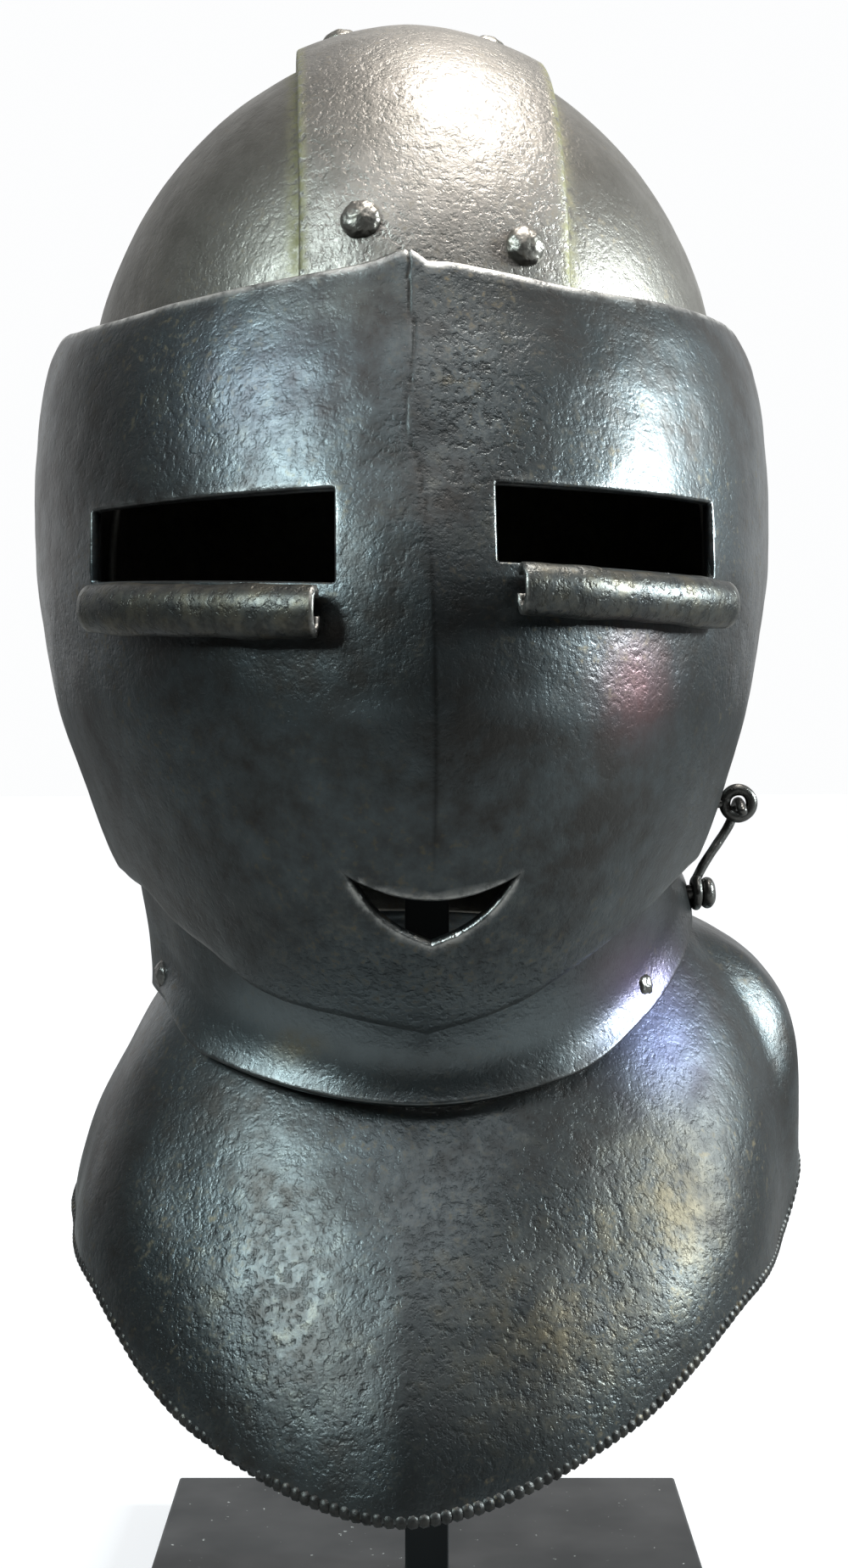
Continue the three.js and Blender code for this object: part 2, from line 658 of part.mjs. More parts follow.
// A rolled lip: a split tube under an eye slot, its opening turned to the visor's face.
function lip(row) {
  const steps = 6;
  const stand = lipRadius - lipWall * 0.6;
  const path = [];
  for (let i = 0; i <= steps; i++) {
    const t = i / steps;
    const x = THREE.MathUtils.lerp(row.inner, row.outer, t);
    const z = THREE.MathUtils.lerp(row.innerHeight, row.outerHeight, t);
    const turn = THREE.MathUtils.radToDeg(Math.atan2(x, -visorFrontAt(x, z)));
    path.push(polar(turn, visorReach(turn, z) + stand, z));
  }
  const outerArc = 7;
  const from = radians(-35);
  const to = radians(250);
  const section = [];
  for (let k = 0; k <= outerArc; k++) {
    const a = THREE.MathUtils.lerp(from, to, k / outerArc);
    section.push([lipRadius * Math.sin(a), lipRadius * Math.cos(a)]);
  }
  for (let k = outerArc; k >= 0; k--) {
    const a = THREE.MathUtils.lerp(from, to, k / outerArc);
    section.push([(lipRadius - lipWall) * Math.sin(a), (lipRadius - lipWall) * Math.cos(a)]);
  }
  const points = [];
  path.forEach((p) => {
    const out = new THREE.Vector3(p.x, p.y, 0).normalize();
    section.forEach(([away, up]) => points.push(p.clone().addScaledVector(out, away).add(new THREE.Vector3(0, 0, up))));
  });
  const n = section.length;
  const index = [];
  for (let i = 0; i < steps; i++)
    for (let k = 0; k < n; k++) {
      const a = i * n + k;
      const b = i * n + ((k + 1) % n);
      index.push(a, b, b + n, a, b + n, a + n);
    }
  const half = n / 2;
  for (let k = 0; k < half - 1; k++) {
    const far = steps * n;
    const [a, b, c, d] = [k, k + 1, n - 2 - k, n - 1 - k];
    index.push(a, d, c, a, c, b);
    index.push(far + a, far + b, far + c, far + a, far + c, far + d);
  }
  const made = solid(indexed(points, index));
  return made.volume() > 0 ? made : solid(indexed(points, [...index].reverse()));
}

function bevorFace(u, v) {
  const end = THREE.MathUtils.lerp(collarSplitTurn, bevorArmTurn, ramp(v, 0, 0.5));
  const turn = end * (2 * u - 1);
  const low = throatHeight(turn);
  const high = heightAt(follow(bevorTop, "turn", Math.abs(turn), "high"));
  const height = THREE.MathUtils.lerp(low, high, v);
  return polar(turn, bevorReach(turn, height), height);
}

// A collar's height from rim to tuck, with a row of points on the throat line.
function collarHeight(turn, v, tuck) {
  const throat = throatHeight(turn);
  if (v > flareShare) return throat + (tuck * (v - flareShare)) / (1 - flareShare);
  const along = v / flareShare;
  return THREE.MathUtils.lerp(rimHeight(turn), throat, 1 - (1 - along) ** 1.3);
}

function frontCollarFace(u, v) {
  const turn = (collarSplitTurn - 0.5) * (2 * u - 1);
  const height = collarHeight(turn, v, collarTuck);
  return polar(turn, collarReach(turn, height), height);
}

function rearCollarFace(u, v) {
  const from = collarSplitTurn + 0.5;
  const around = THREE.MathUtils.lerp(from, 360 - from, u);
  const turn = around > 180 ? around - 360 : around;
  const height = collarHeight(turn, v, collarTuck * ramp(Math.abs(turn), 102, 112));
  return polar(turn, napeReach(turn, height), height);
}

const rimBead = (v) => collarRim * (1 - ramp(v, 0, 0.06));

// Latch on the viewer's right: stud on the bevor, ring on the visor, hook between them

// How far a plate's right side stands from the middle, at a place along Y and a height.
function sideAt(reachAt, y, height) {
  let turn = 70;
  for (let i = 0; i < 20; i++) turn = 180 - THREE.MathUtils.radToDeg(Math.acos(y / reachAt(turn, height)));
  return reachAt(turn, height) * Math.sin(radians(turn));
}

const latchX = sideAt(visorReach, latchBack, latchHeight + latchReach) + eyeRadius + eyeWire + 2 * fit;
const studHeadX = latchX - 9;

function stud() {
  const start = sideAt(bevorReach, latchBack, latchHeight) - 0.8 * bevorWall;
  const headAt = studHeadX;
  const profile = [
    [0, start],
    [studShank, start],
    [studShank, headAt],
    [studHead, headAt],
    [studHead * 0.92, headAt + studHeadWall * 0.6],
    [studHead * 0.5, headAt + studHeadWall],
    [0, headAt + studHeadWall],
  ].map(([x, y]) => new THREE.Vector2(x, y));
  const geometry = new THREE.LatheGeometry(profile, 12);
  geometry.rotateZ(-Math.PI / 2);
  geometry.translate(0, latchBack, latchHeight);
  return geometry;
}

// A round wire along points, as one closed body.
function wire(points, radius, steps) {
  const curve = new THREE.CatmullRomCurve3(points);
  const sides = 6;
  const ring = new THREE.Shape();
  for (let i = 0; i < sides; i++) {
    const a = (2 * Math.PI * i) / sides;
    const [x, y] = [radius * Math.cos(a), radius * Math.sin(a)];
    if (i) ring.lineTo(x, y);
    else ring.moveTo(x, y);
  }
  return new THREE.ExtrudeGeometry(ring, { steps, extrudePath: curve });
}

function latchEye() {
  const height = latchHeight + latchReach;
  const ring = new THREE.TorusGeometry(eyeRadius, eyeWire, 6, 14);
  ring.rotateX(Math.PI / 2);
  ring.translate(latchX, latchBack, height);
  const inside = latchX - eyeRadius - eyeWire - 2 * fit - visorWall - 1;
  const stalk = drill(
    new THREE.Vector3(inside, latchBack, height),
    new THREE.Vector3(latchX - eyeRadius, latchBack, height),
    eyeWire,
  );
  return surface(solid(ring).add(stalk));
}

function latchHook() {
  const loopRadius = studShank + fit + hookWire;
  const loopX = studHeadX - fit - hookWire;
  const onArc = (x, angle, reach) => {
    const a = radians(angle);
    return new THREE.Vector3(x, latchBack + reach * Math.sin(a), latchHeight + reach * Math.cos(a));
  };
  const loop = new THREE.TorusGeometry(loopRadius, hookWire, 6, 12);
  loop.rotateY(Math.PI / 2);
  loop.translate(loopX, latchBack, latchHeight);
  const shank = wire(
    [
      onArc(loopX, 4, loopRadius),
      onArc(loopX + 1.5, 9, latchReach * 0.35),
      onArc(latchX - 2, 14, latchReach * 0.75),
      onArc(latchX, 12, latchReach - 0.9),
      onArc(latchX, 2, latchReach + 0.35),
      onArc(latchX, -8, latchReach - 0.1),
      onArc(latchX, -16, latchReach - 1.3),
    ],
    hookWire,
    14,
  );
  return surface(solid(loop).add(solid(shank)));
}

// Display stand

function standBase() {
  return new THREE.BoxGeometry(standWidth, standWidth, standWall).translate(0, 0, standWall / 2);
}

const padTop = noseHeight + templeHeight + skullRise - skullWall - padGap;

function standPost() {
  const top = padTop - padWall - fit;
  const length = top - standWall - fit;
  return new THREE.BoxGeometry(postWidth, postWidth, length).translate(0, 0, standWall + fit + length / 2);
}

// The pad under the crown, with a domed top that follows the skull.
function standPad() {
  const drop = padDome - Math.sqrt(padDome ** 2 - padRadius ** 2);
  const profile = [
    [0, 0],
    [padRadius, 0],
    [padRadius, padWall - drop],
    [padRadius * 0.66, padWall - drop * 0.44],
    [padRadius * 0.33, padWall - drop * 0.12],
    [0, padWall],
  ].map(([x, y]) => new THREE.Vector2(x, y));
  const geometry = new THREE.LatheGeometry(profile, 20);
  geometry.rotateX(Math.PI / 2);
  geometry.translate(0, 0, padTop - padWall - noseHeight);
  return geometry;
}

// Assembly

function helmet() {
  const group = new THREE.Group();
  const bolts = boltHoles();
  const rivetHoles = (rows, seat) => rows.map((row) => holeAt(seat(row), rivetRadius));
  const without = (body, cuts) => cuts.reduce((rest, cut) => rest.subtract(cut), body);
  const crownHoles = rivetHoles(crownRivets, crownRivetSeat);
  const collarHoles = rivetHoles(collarRivets, collarRivetSeat);
  const napeHoles = rivetHoles(napeRivets, napeRivetSeat);

  const skull = without(solid(bowl(skullFace, skullWall, 36, 11)), [bolts, ...crownHoles, ...napeHoles]);
  group.add(piece("skull", surface(skull), wornSteel));

  const crownPlate = without(solid(plate(crownPlateFace, crownPlateWall, 6, 14)), crownHoles);
  group.add(piece("crown_plate", surface(crownPlate), wornSteel));

  const sideHole = (height, radius) =>
    drill(
      new THREE.Vector3(visorHalfWidth * 0.5, latchBack, height),
      new THREE.Vector3(visorHalfWidth * 1.1, latchBack, height),
      radius + fit,
    );
  const stalkHole = sideHole(latchHeight + latchReach, eyeWire);
  const studHole = sideHole(latchHeight, studShank);

  const visorCuts = [...eyeSlots.map(eyeSlotCut), mouthCut(), bolts, stalkHole];
  const visorPlate = without(solid(plate(visorFace, visorWall, 40, 11)), visorCuts);
  const visor = eyeLips.map(lip).reduce((body, one) => body.add(one), visorPlate);
  group.add(piece("visor", surface(visor), blackenedSteel));

  const bevor = without(solid(plate(bevorFace, bevorWall, 36, 8)), [bolts, ...collarHoles, studHole]);
  group.add(piece("bevor", surface(bevor), blackenedSteel));

  const frontCollar = solid(plate(frontCollarFace, collarWall, 32, 8, rimBead));
  group.add(piece("collar_front", surface(without(frontCollar, collarHoles)), blackenedSteel));

  const rearCollar = solid(plate(rearCollarFace, collarWall, 20, 8, rimBead));
  group.add(piece("collar_back", surface(without(rearCollar, napeHoles)), blackenedSteel));

  for (const row of crownRivets) {
    const shank = crownPlateGap + crownPlateWall + 0.8 * skullWall;
    group.add(piece(row.name, rivet(crownRivetSeat(row), crownRivetHead, crownRivetRise, shank), wornSteel));
  }
  for (const row of collarRivets) {
    const shank = bevorWall + collarGap + 0.8 * collarWall;
    group.add(piece(row.name, rivet(collarRivetSeat(row), collarRivetHead, collarRivetRise, shank), darkIron));
  }
  for (const row of napeRivets) {
    const shank = 3 * fit + collarWall + napeGap + 0.5 * skullWall;
    group.add(piece(row.name, rivet(napeRivetSeat(row), collarRivetHead, collarRivetRise, shank), darkIron));
  }

  group.add(piece("pivot_left", bolt(-1), darkIron));
  group.add(piece("pivot_right", bolt(1), darkIron));
  group.add(piece("latch_stud", stud(), darkIron));
  group.add(piece("latch_eye", latchEye(), darkIron));
  group.add(piece("latch_hook", latchHook(), darkIron));
  group.add(piece("stand_pad", standPad(), blackLacquer));
  group.position.set(0, 0, noseHeight);
  return group;
}

function stand() {
  const group = new THREE.Group();
  group.add(piece("stand_base", standBase(), blackLacquer));
  group.add(piece("stand_post", standPost(), blackLacquer));
  group.position.set(postShift, 0, 0);
  group.rotation.z = radians(standTurn);
  return group;
}

const siegeHelmet = new THREE.Group();
siegeHelmet.add(helmet(), stand());

export default siegeHelmet;
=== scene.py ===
# A siege helmet on its display stand. Sizes are in millimetres until a mesh is made.
# Left and right are the viewer's. A turn is an angle about the upright axis through the temples,
# 0 at the front and positive towards +X, and heights are measured from the nose line.
import math

import bmesh
import bpy
import numpy as np
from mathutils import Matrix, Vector, kdtree, noise


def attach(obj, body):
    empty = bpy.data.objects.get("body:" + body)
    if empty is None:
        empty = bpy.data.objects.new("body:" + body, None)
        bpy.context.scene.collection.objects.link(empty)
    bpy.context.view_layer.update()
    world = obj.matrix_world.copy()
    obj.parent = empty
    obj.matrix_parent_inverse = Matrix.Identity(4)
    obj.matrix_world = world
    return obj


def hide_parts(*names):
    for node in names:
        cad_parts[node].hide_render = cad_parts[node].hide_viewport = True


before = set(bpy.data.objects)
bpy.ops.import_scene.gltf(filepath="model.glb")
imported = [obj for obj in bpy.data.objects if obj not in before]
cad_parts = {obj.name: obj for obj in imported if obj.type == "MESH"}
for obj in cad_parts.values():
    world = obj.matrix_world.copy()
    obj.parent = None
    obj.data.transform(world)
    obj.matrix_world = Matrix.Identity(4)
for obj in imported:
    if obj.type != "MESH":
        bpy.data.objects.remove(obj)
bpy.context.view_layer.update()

# Sizes shared with the solids
nose_height = 270
fit = 0.3
temple_height = 85

skull_half_width = 92.5
skull_front = 104
skull_back = 113
skull_rise = 104
skull_arch_left = 1.86
skull_arch_right = 1.91
skull_wall = 2.5
skull_hem = -69
skull_brow = 72

crown_plate_wall = 4
crown_plate_gap = 0.6
crown_plate_width = 68
crown_plate_shift = 3
crown_plate_front_angle = 5
crown_plate_rear_angle = 113

visor_half_width = 104.9
visor_left_swell = 2.7
visor_depth = 148
visor_brow = 110.5
visor_chin = -82.5
visor_wall = 3
visor_arm_turn = 101.5
arm_wide = 0.962
arm_up = 0.7
keel_height = 4.5
keel_spread = 13
lip_radius = 5.7
lip_wall = 2

bevor_wall = 2.5
bevor_arm_turn = 104
arm_gap = 1.5
cheek_gap = 5.2

collar_wall = 2.3
collar_gap = 1.5
collar_tuck = 7
collar_split_turn = 97
nape_gap = 1.3

bolt_radius = 4
bolt_head_radius = 9
bolt_head_rise = 3.5
nut_radius = 7.5
nut_wall = 3
rivet_radius = 2
crown_rivet = {"head": 5.2, "rise": 3.6, "shank": 6.6}
collar_rivet = {"head": 4, "rise": 2.6, "shank": 5.8}
nape_rivet = {"head": 4, "rise": 2.6, "shank": 5.7}
rope_radius = 1.7
rope_pitch = 2.7

latch_height = -54.5
latch_back = -30
latch_reach = 25.5
stud_shank = 2.2
stud_head = 4.6
stud_head_wall = 4
eye_radius = 3.9
eye_wire = 1.35
eye_stout = 1.65
hook_wire = 1.2
hook_stout = 1.4

stand_width = 166
stand_wall = 10
stand_turn = math.radians(-3.5)
post_shift = 6.8
post_width = 13
pad_radius = 24
pad_wall = 9
pad_gap = 1
pad_dome = 58
pad_top = temple_height + skull_rise - skull_wall - pad_gap

face_height = visor_brow - visor_chin

visor_form = {
    "up": (0, 0.039, 0.117, 0.22, 0.324, 0.427, 0.531, 0.635, 0.733, 0.834, 0.908, 0.958, 1),
    "wide": (0.637, 0.67, 0.739, 0.824, 0.889, 0.943, 0.976, 0.997, 1, 0.99, 0.966, 0.922, 0.865),
    "deep": (0.784, 0.824, 0.892, 0.949, 0.986, 1, 0.99, 0.959, 0.919, 0.872, 0.828, 0.801, 0.78),
}
visor_edges = {
    "turn": (0, 2.5, 7, 12, 18, 25, 32, 42, 50, 60, 70, 78, 84, 88, 92, 97, 101.5),
    "low": (0, 0.006, 0.014, 0.024, 0.034, 0.056, 0.095, 0.13, 0.168, 0.18, 0.19, 0.235, 0.33, 0.52,
            0.68, 0.76, 0.82),
    "low_right": (0, 0.008, 0.021, 0.04, 0.074, 0.11, 0.142, 0.185, 0.2, 0.208, 0.216, 0.245, 0.33, 0.52,
                  0.68, 0.76, 0.82),
    "high": (0.985, 1, 0.985, 0.976, 0.968, 0.96, 0.953, 0.945, 0.941, 0.943, 0.95, 0.945, 0.938, 0.93,
             0.925, 0.915, 0.885),
    "high_right": (0.985, 0.985, 0.979, 0.972, 0.963, 0.959, 0.959, 0.96, 0.96, 0.96, 0.955, 0.947, 0.938,
                   0.93, 0.925, 0.915, 0.885),
}
keel_rows = {
    "up": (0, 0.2, 0.32, 0.6, 0.75, 0.9, 1),
    "rise": (0.15, 0.3, 0.95, 1, 0.6, 0.7, 0.75),
    "lean": (0, 0, 0, -0.4, -2.2, -2.3, -2.3),
}
bevor_top = {
    "turn": (0, 8, 16, 30, 46, 60, 70, 78, 84, 90, 97, 104),
    "high": (0.065, 0.09, 0.14, 0.2, 0.27, 0.42, 0.62, 0.8, 0.915, 0.95, 0.93, 0.88),
}
throat_rows = {
    "turn": (-180, -120, -90, -63, -53, -36, 0, 22, 39, 51, 68, 90, 120, 180),
    "reach": (0.556, 0.48, 0.488, 0.54, 0.562, 0.622, 0.672, 0.658, 0.626, 0.606, 0.584, 0.55, 0.5, 0.556),
    "drop": (0.37, 0.385, 0.418, 0.41, 0.418, 0.477, 0.526, 0.497, 0.43, 0.378, 0.328, 0.312, 0.345, 0.37),
}
rim_rows = {
    "turn": (-180, -135, -105, -71, -52, -26, -3, 21, 45, 68, 78, 105, 135, 180),
    "reach": (0.77, 0.68, 0.635, 0.678, 0.77, 0.9, 0.994, 0.925, 0.835, 0.77, 0.785, 0.78, 0.74, 0.77),
    "drop": (0.63, 0.67, 0.72, 0.759, 0.79, 0.945, 1.012, 0.94, 0.82, 0.775, 0.71, 0.645, 0.62, 0.63),
    "power": (1.6, 1.8, 1.6, 1.6, 1.7, 1.6, 1.45, 1.6, 1.9, 3.1, 4.9, 4.6, 2, 1.6),
}
skull_rows = {
    "drop": (0, 0.27, 0.51, 0.76, 0.88, 1),
    "wide": (1, 1, 0.935, 0.81, 0.7, 0.625),
    "back": (1, 0.985, 0.92, 0.82, 0.755, 0.715),
}
skull_edge = {
    "turn": (0, 50, 62, 71, 79, 88, 104, 125, 180),
    "drop": (0, 0.015, 0.1, 0.38, 0.7, 0.9, 0.95, 1, 1),
}
eye_slots = (
    {"inner": -23, "outer": -85, "inner_top": 51.5, "inner_low": 27.5, "outer_top": 49.5, "outer_low": 30},
    {"inner": 14.5, "outer": 74.5, "inner_top": 53, "inner_low": 32.5, "outer_top": 51.5, "outer_low": 31},
)
eye_lips = (
    {"inner": -27, "outer": -81, "inner_height": 21, "outer_height": 23.5, "sag": 1.0},
    {"inner": 19.5, "outer": 73.5, "inner_height": 26.5, "outer_height": 24.5, "sag": 0.3},
)
slot_corner = 1.2
mouth = {"half_width": 21.5, "tip_height": -41, "top_dip": 6.2, "low_dip": 18.4}

# How wide the plates' lumps and hammer marks are.
visor_lump = 22
plate_lump = 24
hammer_mark = 7

# The crack down the brow: how far aside it runs at each height.
brow_crack = {
    "height": (38, 48, 58, 66, 76, 88, 97, 108),
    "aside": (-1.5, -2.2, -4.0, -6.4, -5.2, -3.6, -4.8, -4.6),
}


# Reading the tables

def follow(table, key, at, column):
    """A smooth reading of a column at places along another column."""
    x = np.asarray(table[key], float)
    y = np.asarray(table[column], float)
    at = np.clip(np.asarray(at, float), x[0], x[-1])
    step = np.diff(x)
    slope = np.diff(y) / step
    before, after = slope[:-1], slope[1:]
    same = before * after > 0
    middle = np.where(same, 2 * before * after / np.where(same, before + after, 1), 0)
    tangent = np.concatenate([slope[:1], middle, slope[-1:]])
    i = np.clip(np.searchsorted(x, at) - 1, 0, len(x) - 2)
    t = (at - x[i]) / step[i]
    rise = y[i + 1] - y[i]
    a = tangent[i] * step[i]
    b = tangent[i + 1] * step[i]
    return y[i] + a * t + (3 * rise - 2 * a - b) * t**2 + (a + b - 2 * rise) * t**3


def up_at(height):
    return (height - visor_chin) / face_height


def height_at(up):
    return visor_chin + up * face_height


def ramp(x, low, high):
    t = np.clip((x - low) / (high - low), 0, 1)
    return t * t * (3 - 2 * t)


def polar(turn, reach, height):
    a = np.radians(turn)
    return np.stack([reach * np.sin(a), -reach * np.cos(a), height + 0 * reach], -1)


def ellipse_reach(turn, wide, deep):
    a = np.radians(turn)
    return 1 / np.hypot(np.sin(a) / wide, np.cos(a) / deep)


# Forms of the plates, as reach from the axis

def visor_reach(turn, height):
    side = ramp(np.abs(turn), 74, 90)
    up = up_at(height)
    broad = follow(visor_form, "up", up, "wide")
    arm = np.where(up > arm_up, arm_wide, np.minimum(arm_wide, 0.975 * broad))
    wide = broad + (arm - broad) * side
    deep = follow(visor_form, "up", up, "deep")
    swell = np.where(turn < 0, visor_left_swell * (1 - side) * ramp(up, 0.1, 0.6), 0)
    aside = np.abs(turn - follow(keel_rows, "up", up, "lean"))
    soft_aside = np.sqrt(aside**2 + 0.03)
    keel = keel_height * follow(keel_rows, "up", up, "rise") * np.exp(-soft_aside / keel_spread)
    return ellipse_reach(turn, wide * visor_half_width + swell, deep * visor_depth - keel_height) + keel


def visor_low(turn):
    side = np.minimum(np.abs(turn), visor_arm_turn)
    left = follow(visor_edges, "turn", side, "low")
    right = follow(visor_edges, "turn", side, "low_right")
    return height_at(np.where(turn < 0, left, right))


def visor_high(turn):
    left = follow(visor_edges, "turn", np.abs(turn), "high")
    right = follow(visor_edges, "turn", np.abs(turn), "high_right")
    return height_at(np.where(turn < 0, left, right))


def slant(reach_at, turn, height):
    """How much thicker a plate is when measured level, where its form slopes."""
    return np.hypot(1, (reach_at(turn, height + 1) - reach_at(turn, height - 1)) / 2)


def throat_reach(turn):
    return visor_depth * follow(throat_rows, "turn", turn, "reach")


def throat_height(turn):
    return -face_height * follow(throat_rows, "turn", turn, "drop")


def rim_reach(turn):
    return visor_depth * follow(rim_rows, "turn", turn, "reach")


def collar_ridge(turn):
    """The collar falls away on both sides of a soft ridge down its front."""
    ridge_turn = -3
    ridge_spread = 9
    ridge_fall = 3.4
    aside = np.abs(turn - ridge_turn)
    fallen = 1 - np.exp(-np.sqrt(aside**2 + 0.5) / ridge_spread)
    return -ridge_fall * fallen * (1 - ramp(aside, 24, 62))


def rim_height(turn):
    return -face_height * follow(rim_rows, "turn", turn, "drop")


def bevor_reach(turn, height):
    side = np.abs(turn)
    back = ramp(side, 78, 88) * ramp(height, -25, 15)
    cheek = ramp(side, 30, 55) * (1 - back) * ramp(height, -60, -10)
    inset = visor_wall + arm_gap + (cheek_gap - arm_gap) * cheek
    low = np.minimum(visor_low(turn), height_at(0.19))
    upper = visor_reach(turn, height) - inset * slant(visor_reach, turn, height)
    share = np.clip((low - height) / (low - throat_height(turn)), 0, None)
    start = visor_reach(turn, low) - inset * slant(visor_reach, turn, low)
    lower = start + (throat_reach(turn) - start) * (1 - (1 - share) ** 2)
    return np.where(height >= low, upper, lower)


def flare(turn, height, start):
    throat = throat_height(turn)
    share = np.clip((throat - height) / (throat - rim_height(turn)), 0, 1)
    full = 1 - (1 - share) ** follow(rim_rows, "turn", turn, "power")
    return start + (rim_reach(turn) - start) * full + collar_ridge(turn) * ramp(share, 0.02, 0.5)


def collar_reach(turn, height):
    throat = throat_height(turn)
    step = (bevor_wall + collar_gap) * slant(bevor_reach, turn, np.maximum(height, throat + 1))
    below = flare(turn, height, throat_reach(turn) - step)
    return np.where(height >= throat, bevor_reach(turn, height) - step, below)


def skull_dome(turn, angle):
    a, b = np.radians(turn), np.radians(angle)
    deep = np.where(np.abs(turn) < 90, skull_front, skull_back)
    wide = np.abs(np.sin(a) * np.cos(b)) / skull_half_width
    round_part = np.hypot(np.cos(a) * np.cos(b) / deep, np.sin(b) / skull_rise)
    power = np.where(turn < 0, skull_arch_left, skull_arch_right)
    size = (wide**power + round_part**power) ** (-1 / power)
    return polar(turn, size * np.cos(b), temple_height + size * np.sin(b))


def skull_reach(turn, height):
    drop = (height - temple_height) / (skull_hem - temple_height)
    edge = skull_dome(turn, 0 * turn)
    deep = np.where(np.abs(turn) < 90, skull_front, skull_back)
    wide = skull_half_width * follow(skull_rows, "drop", drop, "wide")
    back = deep * follow(skull_rows, "drop", drop, "back")
    share = ellipse_reach(turn, wide, back) / ellipse_reach(turn, skull_half_width, deep)
    return share * np.hypot(edge[..., 0], edge[..., 1])


def skull_top(x, angle, out):
    a = np.radians(angle)
    deep = np.where(angle < 90, skull_front, skull_back) + out
    around = 1 / np.hypot(np.cos(a) / deep, np.sin(a) / (skull_rise + out))
    power = np.where(x < 0, skull_arch_left, skull_arch_right)
    share = np.abs(x) / (skull_half_width + out)
    reach = around * (1 - share**power) ** (1 / power)
    return np.stack([x, -reach * np.cos(a), temple_height + reach * np.sin(a)], -1)


def nape_reach(turn, height):
    throat = throat_height(turn)

    def on_skull(at):
        return skull_reach(turn, np.maximum(at, skull_hem)) + nape_gap + collar_wall

    return np.where(height >= throat, on_skull(height), flare(turn, height, on_skull(throat)))


# Faces of the plates: u from left to right, v from the lower edge upwards

def visor_face(u, v):
    t = 2 * u - 1
    turn = visor_arm_turn * (0.25 * t + 0.75 * t**3)
    low, high = visor_low(turn), visor_high(turn)
    height = low + (high - low) * v
    return polar(turn, visor_reach(turn, height), height)


def bevor_face(u, v):
    end = collar_split_turn + (bevor_arm_turn - collar_split_turn) * ramp(v, 0, 0.5)
    turn = end * (2 * u - 1)
    low = throat_height(turn)
    high = height_at(follow(bevor_top, "turn", np.abs(turn), "high"))
    height = low + (high - low) * v
    lip_out = 3.8
    lip_high = 14
    lip = np.clip(1 - (height - low) / lip_high, 0, 1) ** 1.8 * (1 - ramp(np.abs(turn), 40, 75))
    return polar(turn, bevor_reach(turn, height) + lip_out * lip, height)


def collar_height(turn, v, tuck):
    throat = throat_height(turn)
    tuck_share = 0.1
    along = np.clip(v / (1 - tuck_share), 0, 1)
    above = np.clip((v - 1 + tuck_share) / tuck_share, 0, 1)
    return (rim_height(turn) + rope_radius) * (1 - along) + throat * along + tuck * above


def front_collar_face(u, v):
    turn = (collar_split_turn - 0.5) * (2 * u - 1)
    height = collar_height(turn, v, collar_tuck)
    return polar(turn, collar_reach(turn, height), height)


def rear_collar_face(u, v):
    start = collar_split_turn + 0.5
    around = start + (360 - 2 * start) * u
    turn = np.where(around > 180, around - 360, around)
    height = collar_height(turn, v, collar_tuck * ramp(np.abs(turn), 102, 112))
    return polar(turn, nape_reach(turn, height), height)


def skull_face(u, v):
    turn = 360 * u - 180
    edge = skull_brow + (skull_hem - skull_brow) * follow(skull_edge, "turn", np.abs(turn), "drop")
    wall_share = 0.42
    height = edge + (temple_height - edge) * np.clip(v / wall_share, 0, 1)
    low = polar(turn, skull_reach(turn, height), height)
    high = skull_dome(turn, np.clip(90 * (v - wall_share) / (1 - wall_share), 0, 90))
    return np.where((v < wall_share)[..., None], low, high)


def crown_plate_face(u, v):
    x = crown_plate_shift + crown_plate_width * (u - 0.5)
    angle = crown_plate_front_angle + (crown_plate_rear_angle - crown_plate_front_angle) * v
    return skull_top(x, angle, crown_plate_gap + crown_plate_wall)


# Making meshes

def lumps(points, size, seed):
    """Smooth unevenness, from -1 to 1, with lumps of about this size."""
    shift = Vector((seed * 17.3, seed * 5.1, seed * 9.7))
    return np.array([noise.noise(Vector(p) / size + shift) for p in points])


def bands(rings, sides, round_again=False):
    """Faces between neighbouring rings of points."""
    faces = []
    for j in range(rings if round_again else rings - 1):
        n = (j + 1) % rings
        for k in range(sides):
            m = (k + 1) % sides
            faces.append([j * sides + k, j * sides + m, n * sides + m, n * sides + k])
    return faces


def sheet(face, columns, rows, closed=False):
    """A net of points on a face, as a bmesh. A closed sheet joins its sides and ends in a pole."""
    across = columns if closed else columns + 1
    up = rows if closed else rows + 1
    u, v = np.meshgrid(np.arange(across) / columns, np.arange(up) / rows)
    points = face(u.ravel(), v.ravel())
    faces = bands(up, across)
    if not closed:
        faces = [f for f in faces if f[1] == f[0] + 1]
    else:
        points = np.vstack([points, face(np.zeros(1), np.ones(1))])
        top = (up - 1) * across
        faces += [(top + i, top + (i + 1) % across, len(points) - 1) for i in range(across)]
    mesh = bpy.data.meshes.new("net")
    mesh.from_pydata(points.tolist(), [], faces)
    net = bmesh.new()
    net.from_mesh(mesh)
    bpy.data.meshes.remove(mesh)
    return net


def uneven(net, amounts):
    """Moves a net's points along their normals. amounts takes the points and gives how far."""
    net.normal_update()
    points = np.array([v.co for v in net.verts])
    for v, move in zip(net.verts, amounts(points)):
        v.co += v.normal * float(move)
    net.normal_update()


def inside(x, z, outline):
    """Whether a point lies in a flat outline."""
    hit = False
    for (ax, az), (bx, bz) in zip(outline, outline[1:] + outline[:1]):
        if (az > z) != (bz > z) and x < ax + (z - az) / (bz - az) * (bx - ax):
            hit = not hit
    return hit


